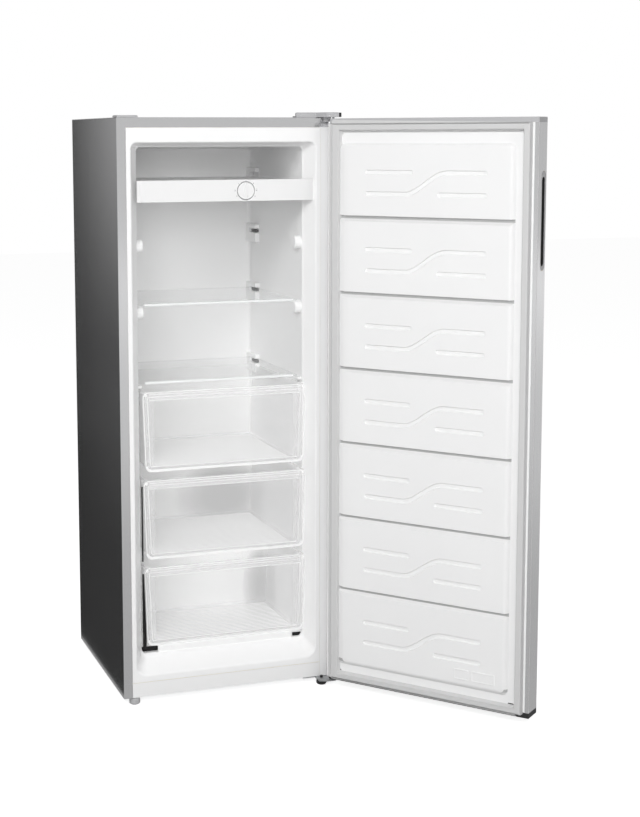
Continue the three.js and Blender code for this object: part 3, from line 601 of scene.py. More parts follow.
def cavity_rings(grow):
    """The rings of the cavity, from just before the front plane to the back wall."""
    rings = [grown_ring(-1, MOUTH, EDGE_ROUND + grow)]
    for k in range(6):
        lean = math.pi / 2 * k / 5
        y = EDGE_ROUND * (1 - math.cos(lean))
        rounding = EDGE_ROUND * (1 - math.sin(lean))
        rings.append(grown_ring(y, between(MOUTH, THROAT, y / THROAT_Y), rounding + grow))
    for before, share_before in ((4, 4), (1, 1.4)):
        section = between(MOUTH, THROAT, (THROAT_Y - share_before) / THROAT_Y)
        rings.append(grown_ring(THROAT_Y - before + grow, section, grow))
    rings.append(grown_ring(THROAT_Y + 0.6 + grow, between(THROAT, CAVITY, 0.35), grow))
    rings.append(grown_ring(CAVITY_Y - 1 + grow, between(THROAT, CAVITY, 0.85), grow))
    rings.append(grown_ring(CAVITY_Y + 1 + grow, CAVITY, grow))
    for k in range(7):
        lean = math.pi / 2 * k / 6
        y = BACK_Y - BACK_ROUND * (1 - math.sin(lean))
        section = between(CAVITY, BACK, (y - CAVITY_Y) / (BACK_Y - CAVITY_Y))
        inset = BACK_ROUND * (1 - math.cos(lean))
        rings.append(grown_ring(y + grow, section, grow - inset * 0.9))
    return rings


def wall_at(y):
    """Half the width of the cavity at a depth."""
    return CAVITY["half"] + (BACK["half"] - CAVITY["half"]) * (y - CAVITY_Y) / (BACK_Y - CAVITY_Y)


def behind_step(gap):
    """The room behind and under the step over the machine compartment."""
    room = ((-300, 300), (STEP_FRONT + gap, 520), (0, STEP_TOP - gap))
    return block(*room, 12 - gap, "x", lambda m: m.z > 1 and m.y < 400, 6)


def on_wall(side, sizes, z, radius, where=lambda m: abs(m.x) < IN_SIGHT):
    """A block that stands on a side wall."""
    width = sorted((side * sizes["reach"], side * INTO_WALL))
    return block(width, (sizes["front"], sizes["back"]), z, radius, "xyz", where)


def in_wall(side, sizes, height, radius=0):
    """A block let into a side wall, about a height."""
    width = sorted((side * sizes["reach"], side * sizes["deep"]))
    span = (height - sizes["low"], height + sizes["high"])
    return block(width, (sizes["front"], sizes["back"]), span, radius)


def drawer_runner(side, drawer_top, far):
    near, reach = RUNNER["front"], RUNNER["reach"]
    rail = [(wall_at(near) - reach, near), (wall_at(far) - reach, far), (INTO_WALL, far), (INTO_WALL, near)]
    heights = (drawer_top - RUNNER["low"], drawer_top - RUNNER["high"])
    runner = loft([[Vector((side * x, y, z)) for x, y in rail] for z in heights])
    return rounded(runner, 2.4, "xyz", lambda m: abs(m.x) < IN_SIGHT)


def wall_knob(side, middle):
    radius, reach, edge, depth = (KNOB[key] for key in ("radius", "reach", "edge", "depth"))
    leans = (0, 0.4, 0.8, 1.2, math.pi / 2)
    rim = [(radius - edge * (1 - math.sin(lean)), reach + edge * (1 - math.cos(lean))) for lean in leans]
    profile = [(0, reach - 0.6)] + rim + [(radius + 0.8, INTO_WALL), (0, INTO_WALL)]
    knob = lathe(profile, 48, "x", (0, depth, middle))
    if side < 0:
        knob.transform(Matrix.Translation((0, 2 * depth, 0)) @ Matrix.Rotation(math.pi, 4, "Z"))
    return knob


ridge_box = ((RIDGE["left"], RIDGE["right"]), (RIDGE["front"], RIDGE["back"]), (RIDGE["low"], RIDGE["high"]))
bulges = [behind_step(0), block(*ridge_box, 3.2, "xyz", lambda m: m.z > 110)]
slots, rests = [], []
for side in (-1, 1):
    for drawer_top, drawer_back in zip(DRAWER_TOPS, DRAWER_BACKS):
        bulges.append(drawer_runner(side, drawer_top, drawer_back + RUNNER["past"]))
    bulges += [wall_knob(side, middle) for middle in KNOB["middles"]]
    under_rail = SHELF_TOPS[1] - GLASS - 2.5
    rest_height = (under_rail - FRONT_REST["thick"], under_rail)
    bulges.append(on_wall(side, FRONT_REST, rest_height, 2.6))
    for shelf_top in SHELF_TOPS:
        under_glass = shelf_top - GLASS - 0.5
        rest_height = (under_glass - BACK_REST["thick"], under_glass)
        rests.append(on_wall(side, BACK_REST, rest_height, 1))
    for slot_height in SLOT_HEIGHTS:
        pad_height = (slot_height - PAD["low"], slot_height + PAD["high"])
        bulges.append(on_wall(side, PAD, pad_height, 2, lambda m: abs(m.x) < IN_SIGHT and m.y < 450))
        slots.append(in_wall(side, NICHE, slot_height))

BORDER = {"half": 247.2, "thick": 1.5}
BORDER_WIDTH, BORDER_DEPTH = (-BORDER["half"], BORDER["half"]), (0, BORDER["thick"])
hollow = carve(loft(cavity_rings(0)), joined(*bulges), crossing=True)
hollow = carve(carve(hollow, joined(*slots), "UNION"), joined(*rests))
border_height = (KICK_TOP + 0.4, top - FLANGE["top"] - 0.3)
border = block(BORDER_WIDTH, BORDER_DEPTH, border_height, 0.5, "xz", lambda m: m.y < 1, 2)
shell = carve(loft(cavity_rings(LINER_WALL)[1:]), block((-400, 400), (-50, 0.4), (-50, 1600)))
shell = carve(shell, behind_step(LINER_WALL))
liner_mesh = carve(carve(border, shell, "UNION"), hollow)
piece("inner_liner_moulding", liner_mesh, white_liner, "cabinet", "white_liner", "inner_liner")

# Painted shade: dark inserts at the back of the three lower pairs of shelf slots stand for the shade in them.
slot_shade_grey = textured("slot_shade_grey", (0.16, 0.16, 0.16), 0.6, 0.002, 0.00003, 0.4)
shade_inserts = [in_wall(side, SLOT_SHADE_INSERT, slot_height, 0.6) for side in (-1, 1) for slot_height in SLOT_HEIGHTS[1:]]
piece("slot_shade_fill", joined(*shade_inserts), slot_shade_grey, "cabinet", "white_liner")

# Painted shade: black blocks beside the ridge stand for the shade under the lowest drawer's corners.
CORNER_SHADE_BLOCKS = (((-213, -171), (119.5, 130.6), 3, "y"), ((189.5, 212.6), (117.5, 126), 1.2, "xyz"))
SHADE_BLOCK_DEPTH = (44, 48)
corner_shade_blocks = [block(x, SHADE_BLOCK_DEPTH, z, radius, along_axis) for x, z, radius, along_axis in CORNER_SHADE_BLOCKS]
dark_fill_black = textured("dark_fill_black", (0.012, 0.012, 0.012), 0.8, 0.002, 0.00003, 0.4)
piece("floor_corner_shade_blocks", joined(*corner_shade_blocks), dark_fill_black, "cabinet", "white_liner")

# ---- Kick plate ----
# A strip of white-painted steel that closes the front under the liner's border and is clipped
# behind the cabinet's front edge.

white_paint = textured("white_paint", (0.93, 0.93, 0.93), 0.4, 0.0015, 0.00003, 0.4)
white_paint.coat(Roughness=grain(white_paint, 0.12) * 0.1 + 0.35)
kick = block(BORDER_WIDTH, BORDER_DEPTH, (bottom + 0.2, KICK_TOP - 0.4), 0.6, "xyz", lambda m: m.y < 1, 2)
piece("kick_strip", kick, white_paint, "cabinet", "white_steel", "kick_plate")

# ---- Control strip, its housing and dial ----
# A white moulded strip across the cavity with its ends swept back, the deck behind it, and a round
# dial set flush in its own hole, with a slim grip bar and plain numbers round it.

white_plastic = textured("white_moulding", (0.88, 0.88, 0.88), 0.3, 0.0012, 0.00002, 0.5, spread=0.1)

STRIP = {"low": 1245, "high": 1297, "front": 2, "sweep": 5.6, "wall": 3}
STRIP_X = {"left": -219.5, "flat_left": -213.5, "flat_right": 199, "right": 231.5}
RETURN = {"half": 212, "front": 4, "back": 24, "inset": 0.4, "thick": 2.4}
DIAL = {"x": 53.6, "z": 1270, "radius": 21.2, "hole": 22.9}
DIAL_AT = (DIAL["x"], 0, DIAL["z"])


def prism(outline, z0, z1):
    """An upright body of one outline, given as (x, y) points."""
    return loft([[Vector((x, y, z)) for x, y in outline] for z in (z0, z1)])


def rod(radius, low, high, sides, axis, at):
    """A plain round bar between two heights on its axis."""
    return lathe([(0, low), (radius, low), (radius, high), (0, high)], sides, axis, at)


strip_front, swept, strip_wall = STRIP["front"], STRIP["front"] + STRIP["sweep"], STRIP["wall"]
left, flat_left, flat_right, right_end = STRIP_X.values()
strip_plan = [
    (left, swept), (left + 2, swept - 2), (flat_left, strip_front), (flat_right, strip_front),
    (right_end - 3, swept - 1.4), (right_end, swept), (right_end, swept + strip_wall),
    (flat_right, strip_front + strip_wall), (flat_left + 2, strip_front + strip_wall),
    (left, swept + strip_wall),
]
strip = rounded(prism(strip_plan, STRIP["low"], STRIP["high"]), 1.2, "x", lambda m: m.y < strip_front + 2.6)
inset, turned_in = RETURN["inset"], RETURN["inset"] + RETURN["thick"]
returns = joined(*(
    block((-RETURN["half"], RETURN["half"]), (RETURN["front"], RETURN["back"]), heights)
    for heights in (
        (STRIP["low"] + inset, STRIP["low"] + turned_in), (STRIP["high"] - turned_in, STRIP["high"] - inset)
    )
))
dial_hole = rod(DIAL["hole"], -5, 12, 64, "y", DIAL_AT)
strip = carve(carve(strip, returns, "UNION"), dial_hole)
LUG_ANGLES = (130, 183, -8)
LUG_HALF = 1.1
for lug_angle in LUG_ANGLES:
    lug_reach = (DIAL["radius"] + 0.35, DIAL["hole"] + 1)
    lug = block(lug_reach, (strip_front + 0.5, strip_front + 2.4), (-LUG_HALF, LUG_HALF))
    lug.transform(Matrix.Translation(DIAL_AT) @ Matrix.Rotation(-math.radians(lug_angle), 4, "Y"))
    strip = carve(strip, lug, "UNION")
piece("control_strip", strip, white_plastic, "cabinet", "white_plastic", "control_fascia")
dress(white_liner, "control_housing")

# The dial: its face, a slim grip bar across it, and a stem with a bore for the spindle.
GRIP_BAR = {"half_width": 4.3, "swell": 1.6, "half_height": 19.2, "points": 32}
GRIP_STATIONS = ((3, 1.1), (1.2, 1.05), (-0.2, 1), (-0.8, 0.93), (-1, 0.8))
grip_turns = [2 * math.pi * k / GRIP_BAR["points"] for k in range(GRIP_BAR["points"])]
grip_widths = [GRIP_BAR["half_width"] + GRIP_BAR["swell"] * math.sin(a) ** 2 for a in grip_turns]
grip_outline = [
    (width * math.cos(a), GRIP_BAR["half_height"] * math.sin(a)) for a, width in zip(grip_turns, grip_widths)
]
grip_rings = [
    [Vector((DIAL["x"] + x * share, y, DIAL["z"] + z * share)) for x, z in grip_outline]
    for y, share in GRIP_STATIONS
]
face_profile = [(0, 1.0), (17.5, 1.0), (19.2, 0.7), (20.4, 0.5), (21.0, 0.8)]
face_profile += [(DIAL["radius"], 1.4), (DIAL["radius"], 6.2), (0, 6.2)]
dial_face = lathe(face_profile, 72, "y", DIAL_AT)
dial_stem = rod(7, 5, 18, 32, "y", DIAL_AT)
stem_bore = rod(3.4, 9, 20, 32, "y", DIAL_AT)
dial = carve(carve(carve(dial_face, loft(grip_rings), "UNION"), dial_stem, "UNION"), stem_bore)
piece("dial_knob", dial, white_plastic, "knob", "white_plastic", "thermostat_knob")

# Plain numbers on an arc round the dial, and a tick at each side.
scale_ink = textured("scale_ink", (0.12, 0.12, 0.13), 0.6, 0.0008, 0.00001, 0.3)
SCALE = {"steps": 7, "first": 215, "sweep": 250, "radius": 28.2, "squash": 0.82, "size": 4.6, "print": 0.03}
TICK = {"x": 27.5, "half_wide": 1.6, "half_high": 0.5}
marks = []
for k in range(SCALE["steps"]):
    angle = math.radians(SCALE["first"] - SCALE["sweep"] * k / (SCALE["steps"] - 1))
    number = bpy.data.curves.new("number", "FONT")
    number.body = str(k)
    number.size = SCALE["size"]
    number.align_x, number.align_y = "CENTER", "CENTER"
    number.extrude = SCALE["print"]
    digit = mesh_of(placed("number", number))
    digit_x = DIAL["x"] + SCALE["radius"] * math.cos(angle)
    digit_z = DIAL["z"] + SCALE["radius"] * math.sin(angle) * SCALE["squash"]
    digit_at = Matrix.Translation((digit_x, strip_front - 0.04, digit_z))
    digit.transform(digit_at @ Matrix.Rotation(math.pi / 2, 4, "X"))
    marks.append(digit)
for tick_x in (DIAL["x"] - TICK["x"], DIAL["x"] + TICK["x"]):
    tick_width = (tick_x - TICK["half_wide"], tick_x + TICK["half_wide"])
    tick_height = (DIAL["z"] - TICK["half_high"], DIAL["z"] + TICK["half_high"])
    marks.append(block(tick_width, (strip_front - 0.06, strip_front), tick_height))
piece("dial_numbers", joined(*marks), scale_ink, "cabinet", "white_plastic")

# ---- Shelves ----
# Panes of toughened clear glass that slide in the slots of the side walls, each with a bright
# moulded rail pushed over its front edge.

glass = new_finish("shelf_glass", (0.93, 0.96, 0.95), 0.04, Alpha=0.1)
glass.coat(Roughness=grain(glass, 0.05) * 0.05 + 0.03)
edge_white = textured("shelf_rail", (0.93, 0.94, 0.94), 0.2, 0.002, 0.00002, 0.3, Alpha=0.85)
PANE = {"half": 204.5, "front": 50, "back": 400, "edge": 0.9}
RAIL = {"left": -195, "right": 192, "front": 44, "back": 57, "under": 5.2, "over": 1.0}
for number, shelf_top in enumerate(SHELF_TOPS, 1):
    under_side = shelf_top - GLASS
    pane_box = ((-PANE["half"], PANE["half"]), (PANE["front"], PANE["back"]), (under_side, shelf_top))
    pane = block(*pane_box, PANE["edge"], "xyz", steps=2)
    piece(f"shelf_pane_{number}", pane, glass, f"shelf_{number}", "shelf_glass", f"shelf_{number}_glass")
    low, high = shelf_top - RAIL["under"], shelf_top + RAIL["over"]
    front, back = RAIL["front"], RAIL["back"]
    rail_section = corner_outline([(front, low, 2), (back, low, 0.6), (back, high, 0.6), (front, high, 2)], 4)
    rail = loft([[Vector((x, y, z)) for y, z in rail_section] for x in (RAIL["left"], RAIL["right"])])
    rail = carve(rail, block((-207, 207), (PANE["front"] - 0.3, 60), (under_side - 0.2, shelf_top + 0.2)))
    rail_name, trim_node = f"shelf_rail_{number}", f"shelf_{number}_trim"
    piece(rail_name, rail, edge_white, f"shelf_{number}", "clear_plastic", trim_node)

# ---- Drawers ----
# Clear moulded polystyrene. Each front is a shallow pan with a rounded rim and a grip lip across its
# top, snapped on to a tapered tub with an outward rim and fine ribs across its floor.

clear = new_finish("clear_moulding", (0.98, 0.98, 0.98), 0.16)
clear_wave = grain(clear, 0.03)
clear_slant = clear.node("LayerWeight", {}, {"Blend": 0.5}, output="Facing")
clear.coat(Roughness=clear_wave * 0.08 + 0.12, Alpha=clear_slant * 0.3 + 0.15)
relief(clear, clear_wave, 0.0003, 0.5)
clear_rim = textured("clear_rim", (0.98, 0.98, 0.98), 0.2, 0.02, 0.0002, 0.5, Alpha=0.6)

ribs = bpy.data.node_groups.new("row_of_ribs", "GeometryNodeTree")
ribs.is_modifier = True
ROW_INPUTS = {"Rib": "Geometry", "Count": "Int", "Start": "Vector", "Step": "Vector", "Material": "Material"}
for socket_name, socket_kind in ROW_INPUTS.items():
    ribs.interface.new_socket(socket_name, in_out="INPUT", socket_type="NodeSocket" + socket_kind)
ribs.interface.new_socket("Row", in_out="OUTPUT", socket_type="NodeSocketGeometry")
entry, way_out = ribs.nodes.new("NodeGroupInput"), ribs.nodes.new("NodeGroupOutput")
line = ribs.nodes.new("GeometryNodeMeshLine")
line.mode = "OFFSET"
copies = ribs.nodes.new("GeometryNodeInstanceOnPoints")
real = ribs.nodes.new("GeometryNodeRealizeInstances")
coated = ribs.nodes.new("GeometryNodeSetMaterial")
for source, socket, target, entrance in (
    (entry, "Count", line, "Count"), (entry, "Start", line, "Start Location"),
    (entry, "Step", line, "Offset"), (line, "Mesh", copies, "Points"), (entry, "Rib", copies, "Instance"),
    (copies, "Instances", real, "Geometry"), (real, "Geometry", coated, "Geometry"),
    (entry, "Material", coated, "Material"), (coated, "Geometry", way_out, "Row"),
):
    ribs.links.new(source.outputs[socket], target.inputs[entrance])


def row_of(mesh, count, start, step, finish):
    """The mesh repeated along a straight row, as one plain mesh."""
    holder = placed("row", mesh)
    repeat = holder.modifiers.new("row", "NODES")
    repeat.node_group = ribs
    given = {"Count": count, "Start": start, "Step": step, "Material": finish.owner}
    for item in ribs.interface.items_tree:
        if item.in_out == "INPUT" and item.name in given:
            repeat[item.identifier] = given[item.name]
    holder.update_tag()
    return mesh_of(holder)


def bar_of(section, x0, x1):
    """A level bar across the cabinet, with a section of (y, z) points."""
    return loft([[Vector((x, y, z)) for y, z in section] for x in (x0, x1)])


DRAWER_HEIGHT = 199
FACE = {"half": 212.4, "low_half": 206, "front": 8, "back": 16, "wall": 2.4, "frame": 13}
LIP = {"front": FACE["front"] - 4, "height": 21.5, "half": 198}
PIN = {"x": 204.4, "down": 7.5}
PIN_PROFILE = [(0, -1.4), (2.6, -1.4), (3.5, -0.8), (3.7, 0.4), (3.7, 3), (0, 3)]
TUB = {"front": FACE["back"] + 0.3, "half": 198, "top_half": 204.6, "wall": 2.0, "rim_down": 5}
SHADE_BLADES = {2: (-215.4, -211.6), 3: (-215.6, -206)}


def face_ring(y, drawer_top, inset, radius=15):
    low, half = drawer_top - DRAWER_HEIGHT, FACE["half"] - inset
    rounding = max(radius - inset * 0.8, 3)
    return wall_ring(y, half, low + inset, drawer_top - inset, rounding, FACE["low_half"] - inset, 8)


def face_band(drawer_top, outer, inner, y0, y1):
    """A flat band on the front, between two insets from its outline."""
    return carve(
        loft([face_ring(y0, drawer_top, outer), face_ring(y1, drawer_top, outer)]),
        loft([face_ring(y0 - 1, drawer_top, inner), face_ring(y1 + 1, drawer_top, inner)]),
    )


def drawer_face(drawer_top):
    """The pan with its rounded rim, and the grip lip that stands before it."""
    front, back, lip = FACE["front"], FACE["back"], LIP["front"]
    outside = ((front, 1.6), (front + 0.5, 0.6), (front + 1.6, 0), (back - 0.6, 0), (back, 0.6))
    inside = ((front + FACE["wall"], 3.4), (back + 2, 2.8))
    outer, inner = (
        loft([face_ring(y, drawer_top, inset) for y, inset in rings]) for rings in (outside, inside)
    )
    lip_foot = LIP["height"]
    lip_section = (
        (front + 1, 3), (lip + 1.4, 3), (lip, 5), (lip, lip_foot), (lip + 1.6, lip_foot), (lip + 1.6, 6.6),
        (lip + 2.6, 5.4), (front + 1, 5.4),
    )
    lip_bar = bar_of([(y, drawer_top - down) for y, down in lip_section], -LIP["half"], LIP["half"])
    return carve(carve(outer, inner), lip_bar, "UNION")


def drawer_edging(drawer_top):
    """The raised lines of the front: bead, frame line, foot band, the lip's two lines and two pins."""
    front, frame_wide, frame_y = FACE["front"], FACE["frame"], FACE["front"] + FACE["wall"]
    bead = face_band(drawer_top, 0.6, 2.4, front - 0.5, front + 0.4)
    frame_line = face_band(drawer_top, frame_wide - 0.7, frame_wide + 0.7, frame_y - 0.3, frame_y + 1)
    above_foot = block((-300, 300), (0, 30), (drawer_top - DRAWER_HEIGHT + 15, drawer_top + 10))
    foot_band = carve(face_band(drawer_top, 0.5, 6.5, front - 0.4, front + 0.3), above_foot)
    line_section = [(LIP["front"] + y, z) for y, z in ((0.4, -0.7), (-0.35, 0), (0.4, 0.7))]
    line_rib = bar_of(line_section, 1 - LIP["half"], LIP["half"] - 1)
    line_at, line_step = (0, 0, drawer_top - LIP["height"] + 0.9), (0, 0, LIP["height"] - 6.2)
    lip_lines = row_of(line_rib, 2, line_at, line_step, clear_rim)
    pin_z = drawer_top - PIN["down"]
    pins = [lathe(PIN_PROFILE, 28, "y", (pin_x, front, pin_z)) for pin_x in (-PIN["x"], PIN["x"])]
    return joined(bead, frame_line, foot_band, lip_lines, *pins)


def tub_taper(drawer_back):
    """How much narrower a tub is at its back, on each side."""
    return (CAVITY["half"] - BACK["half"]) * (drawer_back - TUB["front"]) / (BACK_Y - CAVITY_Y)


def drawer_tub(drawer_top, drawer_back):
    """The tub with its rolled floor edge and its rim, open behind the front's clear pane."""
    low, rim_z = drawer_top - DRAWER_HEIGHT, drawer_top - TUB["rim_down"]
    front, foot, head, wall = TUB["front"], TUB["half"], TUB["top_half"], TUB["wall"]

    taper = tub_taper(drawer_back)

    def tub_body(*rings):
        return loft([
            floor_ring(z, half - inset, half - taper - inset, front + inset, drawer_back - inset, radius)
            for z, half, inset, radius in rings
        ])

    outside = tub_body(
        (low + 5, foot, 4, 13), (low + 5.6, foot, 2.2, 14.4), (low + 7.4, foot, 0.6, 15.6),
        (low + 10, foot + 0.2, 0, 16), (rim_z + 2, head, 0, 16),
    )
    rim_edge = ((-0.2, 211.1), (0.6, 211.5), (2.4, 211.5), (3, 211))
    rim = tub_body(*((rim_z + rise, half, 0, 6) for rise, half in rim_edge))
    inside = tub_body(
        (low + 7, foot, 5.6, 10), (low + 7.5, foot, 4.0, 11.4), (low + 9.4, foot, wall + 0.6, 13),
        (low + 12, foot + 0.2, wall, 14), (rim_z + 4, head + 0.2, wall, 14),
    )
    window_height = (low + 12, drawer_top - LIP["height"] - 2)
    window = block((16 - foot, foot - 16), (front - 2, front + wall + 1), window_height, 10, "y")
    return carve(carve(carve(outside, rim, "UNION"), inside), window)


def drawer_floor_ribs(drawer_top, drawer_back):
    pitch, half = 11, TUB["half"] - tub_taper(drawer_back) - 14
    rib = bar_of(((-1.6, -0.1), (0, 1.3), (1.6, -0.1)), -half, half)
    count = int((drawer_back - TUB["front"] - 40) / pitch)
    start = (0, TUB["front"] + 22, drawer_top - DRAWER_HEIGHT + 7.1)
    return row_of(rib, count, start, (0, pitch, 0), clear_rim)


for number, (drawer_top, drawer_back) in enumerate(zip(DRAWER_TOPS, DRAWER_BACKS), 1):
    drawer = f"drawer_{number}"
    piece(f"{drawer}_face", drawer_face(drawer_top), clear, drawer, "clear_plastic", f"{drawer}_front")
    piece(f"{drawer}_edging", drawer_edging(drawer_top), clear_rim, drawer, "clear_plastic")
    tub = drawer_tub(drawer_top, drawer_back)
    piece(f"{drawer}_tub", tub, clear, drawer, "clear_plastic", f"{drawer}_basket")
    # Painted shade: the two lower tubs have a dark blade at the left, between the tub and the wall, for the
    # deep shade in that gap.
    if number in SHADE_BLADES:
        blade_height = (drawer_top - DRAWER_HEIGHT - 6, drawer_top - 16)
        blade = block(SHADE_BLADES[number], (17, 18.2), blade_height, 0.4)
        piece(f"{drawer}_painted_shade_blade", blade, dark_fill_black, drawer, "clear_plastic")
    floor_ribs = drawer_floor_ribs(drawer_top, drawer_back)
    piece(f"{drawer}_floor_ribs", floor_ribs, clear_rim, drawer, "clear_plastic")

# ---- Door skin ----
# A silver-painted steel pan with rounded upright edges, open at the top and bottom where the end
# caps close it, and pierced in its free edge for the grip. Door pieces are laid out closed.

PIVOT = Vector((270.4, -29, 0))
hinge = next(joint for joint in frame["joints"] if joint["name"] == "door_hinge")
DOOR_TURN = Matrix.Rotation(-math.radians(hinge["range_deg"][0]), 4, "Z")
DOOR_PLACE = STAND @ Matrix.Translation(PIVOT) @ DOOR_TURN @ Matrix.Translation(-PIVOT)
INNER, OUTER = -17, -70
DOOR_HALF = 271.5
DOOR_LOW, DOOR_HIGH, CAP = 23, 1445, 12
low_joint, high_joint = DOOR_LOW + CAP, DOOR_HIGH - CAP
pan_height = (low_joint + 0.2, high_joint - 0.2)
GRIP = {"near": 18.5, "far": 45, "low_z": 1091, "high_z": 1321}
SLOT = {"near": 22.5, "far": 41.5, "low_z": 1101, "high_z": 1308}
SLOT_DEEP = 23
TURN_IN = {"wide": 10, "thick": 0.7}


def skin_plan(inset, back, radius=4):
    half, face, rounding = DOOR_HALF - inset, OUTER + inset, radius - inset
    corners = [(-half, face, rounding), (half, face, rounding), (half, back, 0), (-half, back, 0)]
    return corner_outline(corners, 6)


def oblong(grow, span, depth0, depth1, lead=0.0):
    """A bar with round ends that goes into the free edge of the door, between two depths."""
    y0, y1 = INNER - span["far"] - grow, INNER - span["near"] + grow
    z0, z1 = span["low_z"] - grow, span["high_z"] + grow
    radius = (y1 - y0) / 2 * 0.98
    middle = Vector(((y0 + y1) / 2, (z0 + z1) / 2))
    straight_half = (span["high_z"] - span["low_z"]) / 2 - radius
    x0, x1 = depth0 - DOOR_HALF, depth1 - DOOR_HALF
    stations = ((x0, lead), (x0 + lead, 0), (x1, 0)) if lead else ((x0, 0), (x1, 0))
    rings = [[] for station in stations]
    for point in corner_outline([(y0, z0, radius), (y1, z0, radius), (y1, z1, radius), (y0, z1, radius)], 10):
        off = point - middle
        across = math.copysign(min(abs(off.x), 1), off.x)
        along_bar = math.copysign(0.7, off.y) if abs(off.y) > straight_half else 0
        for ring, (x, inset) in zip(rings, stations):
            ring.append(Vector((x, point.x - across * inset, point.y - along_bar * inset)))
    return loft(rings)


skin_room = prism(skin_plan(SHEET, INNER + 5), low_joint - 1, high_joint + 1)
skin = carve(prism(skin_plan(0, INNER - 1.8), *pan_height), skin_room)
skin = carve(skin, oblong(0.3, GRIP, -1, 2))
for side in (-1, 1):
    turn_in = sorted((side * (DOOR_HALF - TURN_IN["wide"]), side * (DOOR_HALF - 0.3)))
    skin = joined(skin, block(turn_in, (INNER - 0.1, INNER + TURN_IN["thick"]), pan_height, 0.3, "z"))
piece("door_pan", skin, silver, "door", "silver_steel", "door_skin", place=DOOR_PLACE)

# ---- Door liner ----
# White formed sheet: a flat margin under the seal, a low step and a raised field cut by six level
# grooves into seven panels, each with sunk bars, and one plain raised plate at the bottom corner.

LINER_HALF = DOOR_HALF - 0.2
DOOR_STEP = {"half": 241.5, "low": 47, "high": 1412, "rise": 4}
# The raised field: its edges where it leaves the step, how far its draft runs in, and its height.
FIELD = {"free": -218.5, "hinge": 240.5, "low": 72, "high": 1384, "rise": 14}
DRAFT = {"free": 10, "low": 11, "high": 7}
# Share of the draft, inset on the hinge side, height over the margin and corner radius.
FIELD_STATIONS = (
    (-0.2, -0.5, 3, 14), (-0.12, -0.3, 4.0, 14), (0, 0, 5, 13), (0.15, 0.6, 7.4, 12), (0.32, 4, 9.6, 11),
    (0.52, 11, 11.8, 10), (0.75, 18, 13.2, 9), (1, 27, 14, 8), (1.3, 32, 14, 8),
)
STEP_STATIONS = ((-1, -1.3), (-1, 0.0), (0, 0.4), (1.2, 2.6), (2.2, 3.6), (3.4, 4), (7, 4))
GROOVE = {"first": 1203.2, "pitch": 187.2, "count": 6}
# Height over the field and rise from the groove's middle line, from its lower edge to its upper.
GROOVE_SECTION = (
    (1, -8.6), (0, -7.6), (-0.8, -7.0), (-7.4, -2.2), (-8.6, -0.8), (-9.2, 0.8), (-9.2, 4.6), (-8.6, 5.6),
    (-0.8, 6.2), (0, 6.9), (1, 7.9),
)
field_face = INNER + FIELD["rise"]
step_face = INNER + DOOR_STEP["rise"]


def step_ring(inset, rise, radius=14):
    low_z, high_z = DOOR_STEP["low"] + inset, DOOR_STEP["high"] - inset
    return wall_ring(INNER + rise, DOOR_STEP["half"] - inset, low_z, high_z, radius, steps=5)


def field_ring(share, hinge_inset, rise, radius):
    """The field's outline; on the hinge side it rises slowly, clear of the seal."""
    free, hinge_side = FIELD["free"] + DRAFT["free"] * share, FIELD["hinge"] - hinge_inset
    low_z, high_z = FIELD["low"] + DRAFT["low"] * share, FIELD["high"] - DRAFT["high"] * share
    corners = [(low_z, free), (high_z, free), (high_z, hinge_side), (low_z, hinge_side)]
    outline = corner_outline([(z, x, radius) for z, x in corners], 5)
    return [Vector((x, INNER + rise, z)) for z, x in outline]


margin_width, margin_depth = (-LINER_HALF, LINER_HALF), (INNER - 1.5, INNER)
margin = block(margin_width, margin_depth, pan_height, 0.6, "xz", lambda m: m.y > INNER - 0.5, 2)
step_body = loft([step_ring(*station) for station in STEP_STATIONS])
field_body = loft([field_ring(*station) for station in FIELD_STATIONS])
groove = bar_of([(field_face + y, z) for y, z in GROOVE_SECTION], -300, 300)
grooves = row_of(groove, GROOVE["count"], (0, 0, GROOVE["first"]), (0, 0, -GROOVE["pitch"]), white_liner)
liner_body = carve(carve(field_body, grooves), carve(step_body, margin, "UNION"), "UNION")

BAR_HALF, BAR_DEPTH = 5.9, 3.4
BAR_EDGE = ((1.0, 0.8), (0, 0), (-0.5, -0.7), (-1.3, -BAR_DEPTH + 0.7), (-2.2, -BAR_DEPTH))
BAR_SECTION = [(-BAR_HALF - out, depth) for out, depth in BAR_EDGE]
BAR_SECTION += [(BAR_HALF + out, depth) for out, depth in reversed(BAR_EDGE)]
END_SHARES = (0.25, 0.5, 0.7, 0.85, 0.94, 0.985)


def sunk_bar(path):
    """A bar with round ends sunk into the raised field, along (x, z) points."""
    points = [Vector(point) for point in path]
    first, last = points[0], points[-1]
    start_run, end_run = (points[1] - first).normalized(), (last - points[-2]).normalized()
    ends = [(BAR_HALF * share, math.sqrt(1 - share * share)) for share in END_SHARES]
    stations = [(first - start_run * reach, start_run, width) for reach, width in reversed(ends)]
    for i, point in enumerate(points):
        run = (points[min(i + 1, len(points) - 1)] - points[max(i - 1, 0)]).normalized()
        stations.append((point, run, 1.0))
    stations += [(last + end_run * reach, end_run, width) for reach, width in ends]
    body = []
    for centre, run, width in stations:
        side_way = Vector((-run.y, run.x))
        ring = []
        for across, depth in BAR_SECTION:
            at = centre + side_way * across * width
            sunk = depth * min(1, width * 1.2) if depth < 0 else depth
            ring.append(Vector((at.x, field_face + sunk, at.y)))
        body.append(ring)
    return loft(body)


def field_x(from_hinge):
    return DOOR_HALF - from_hinge


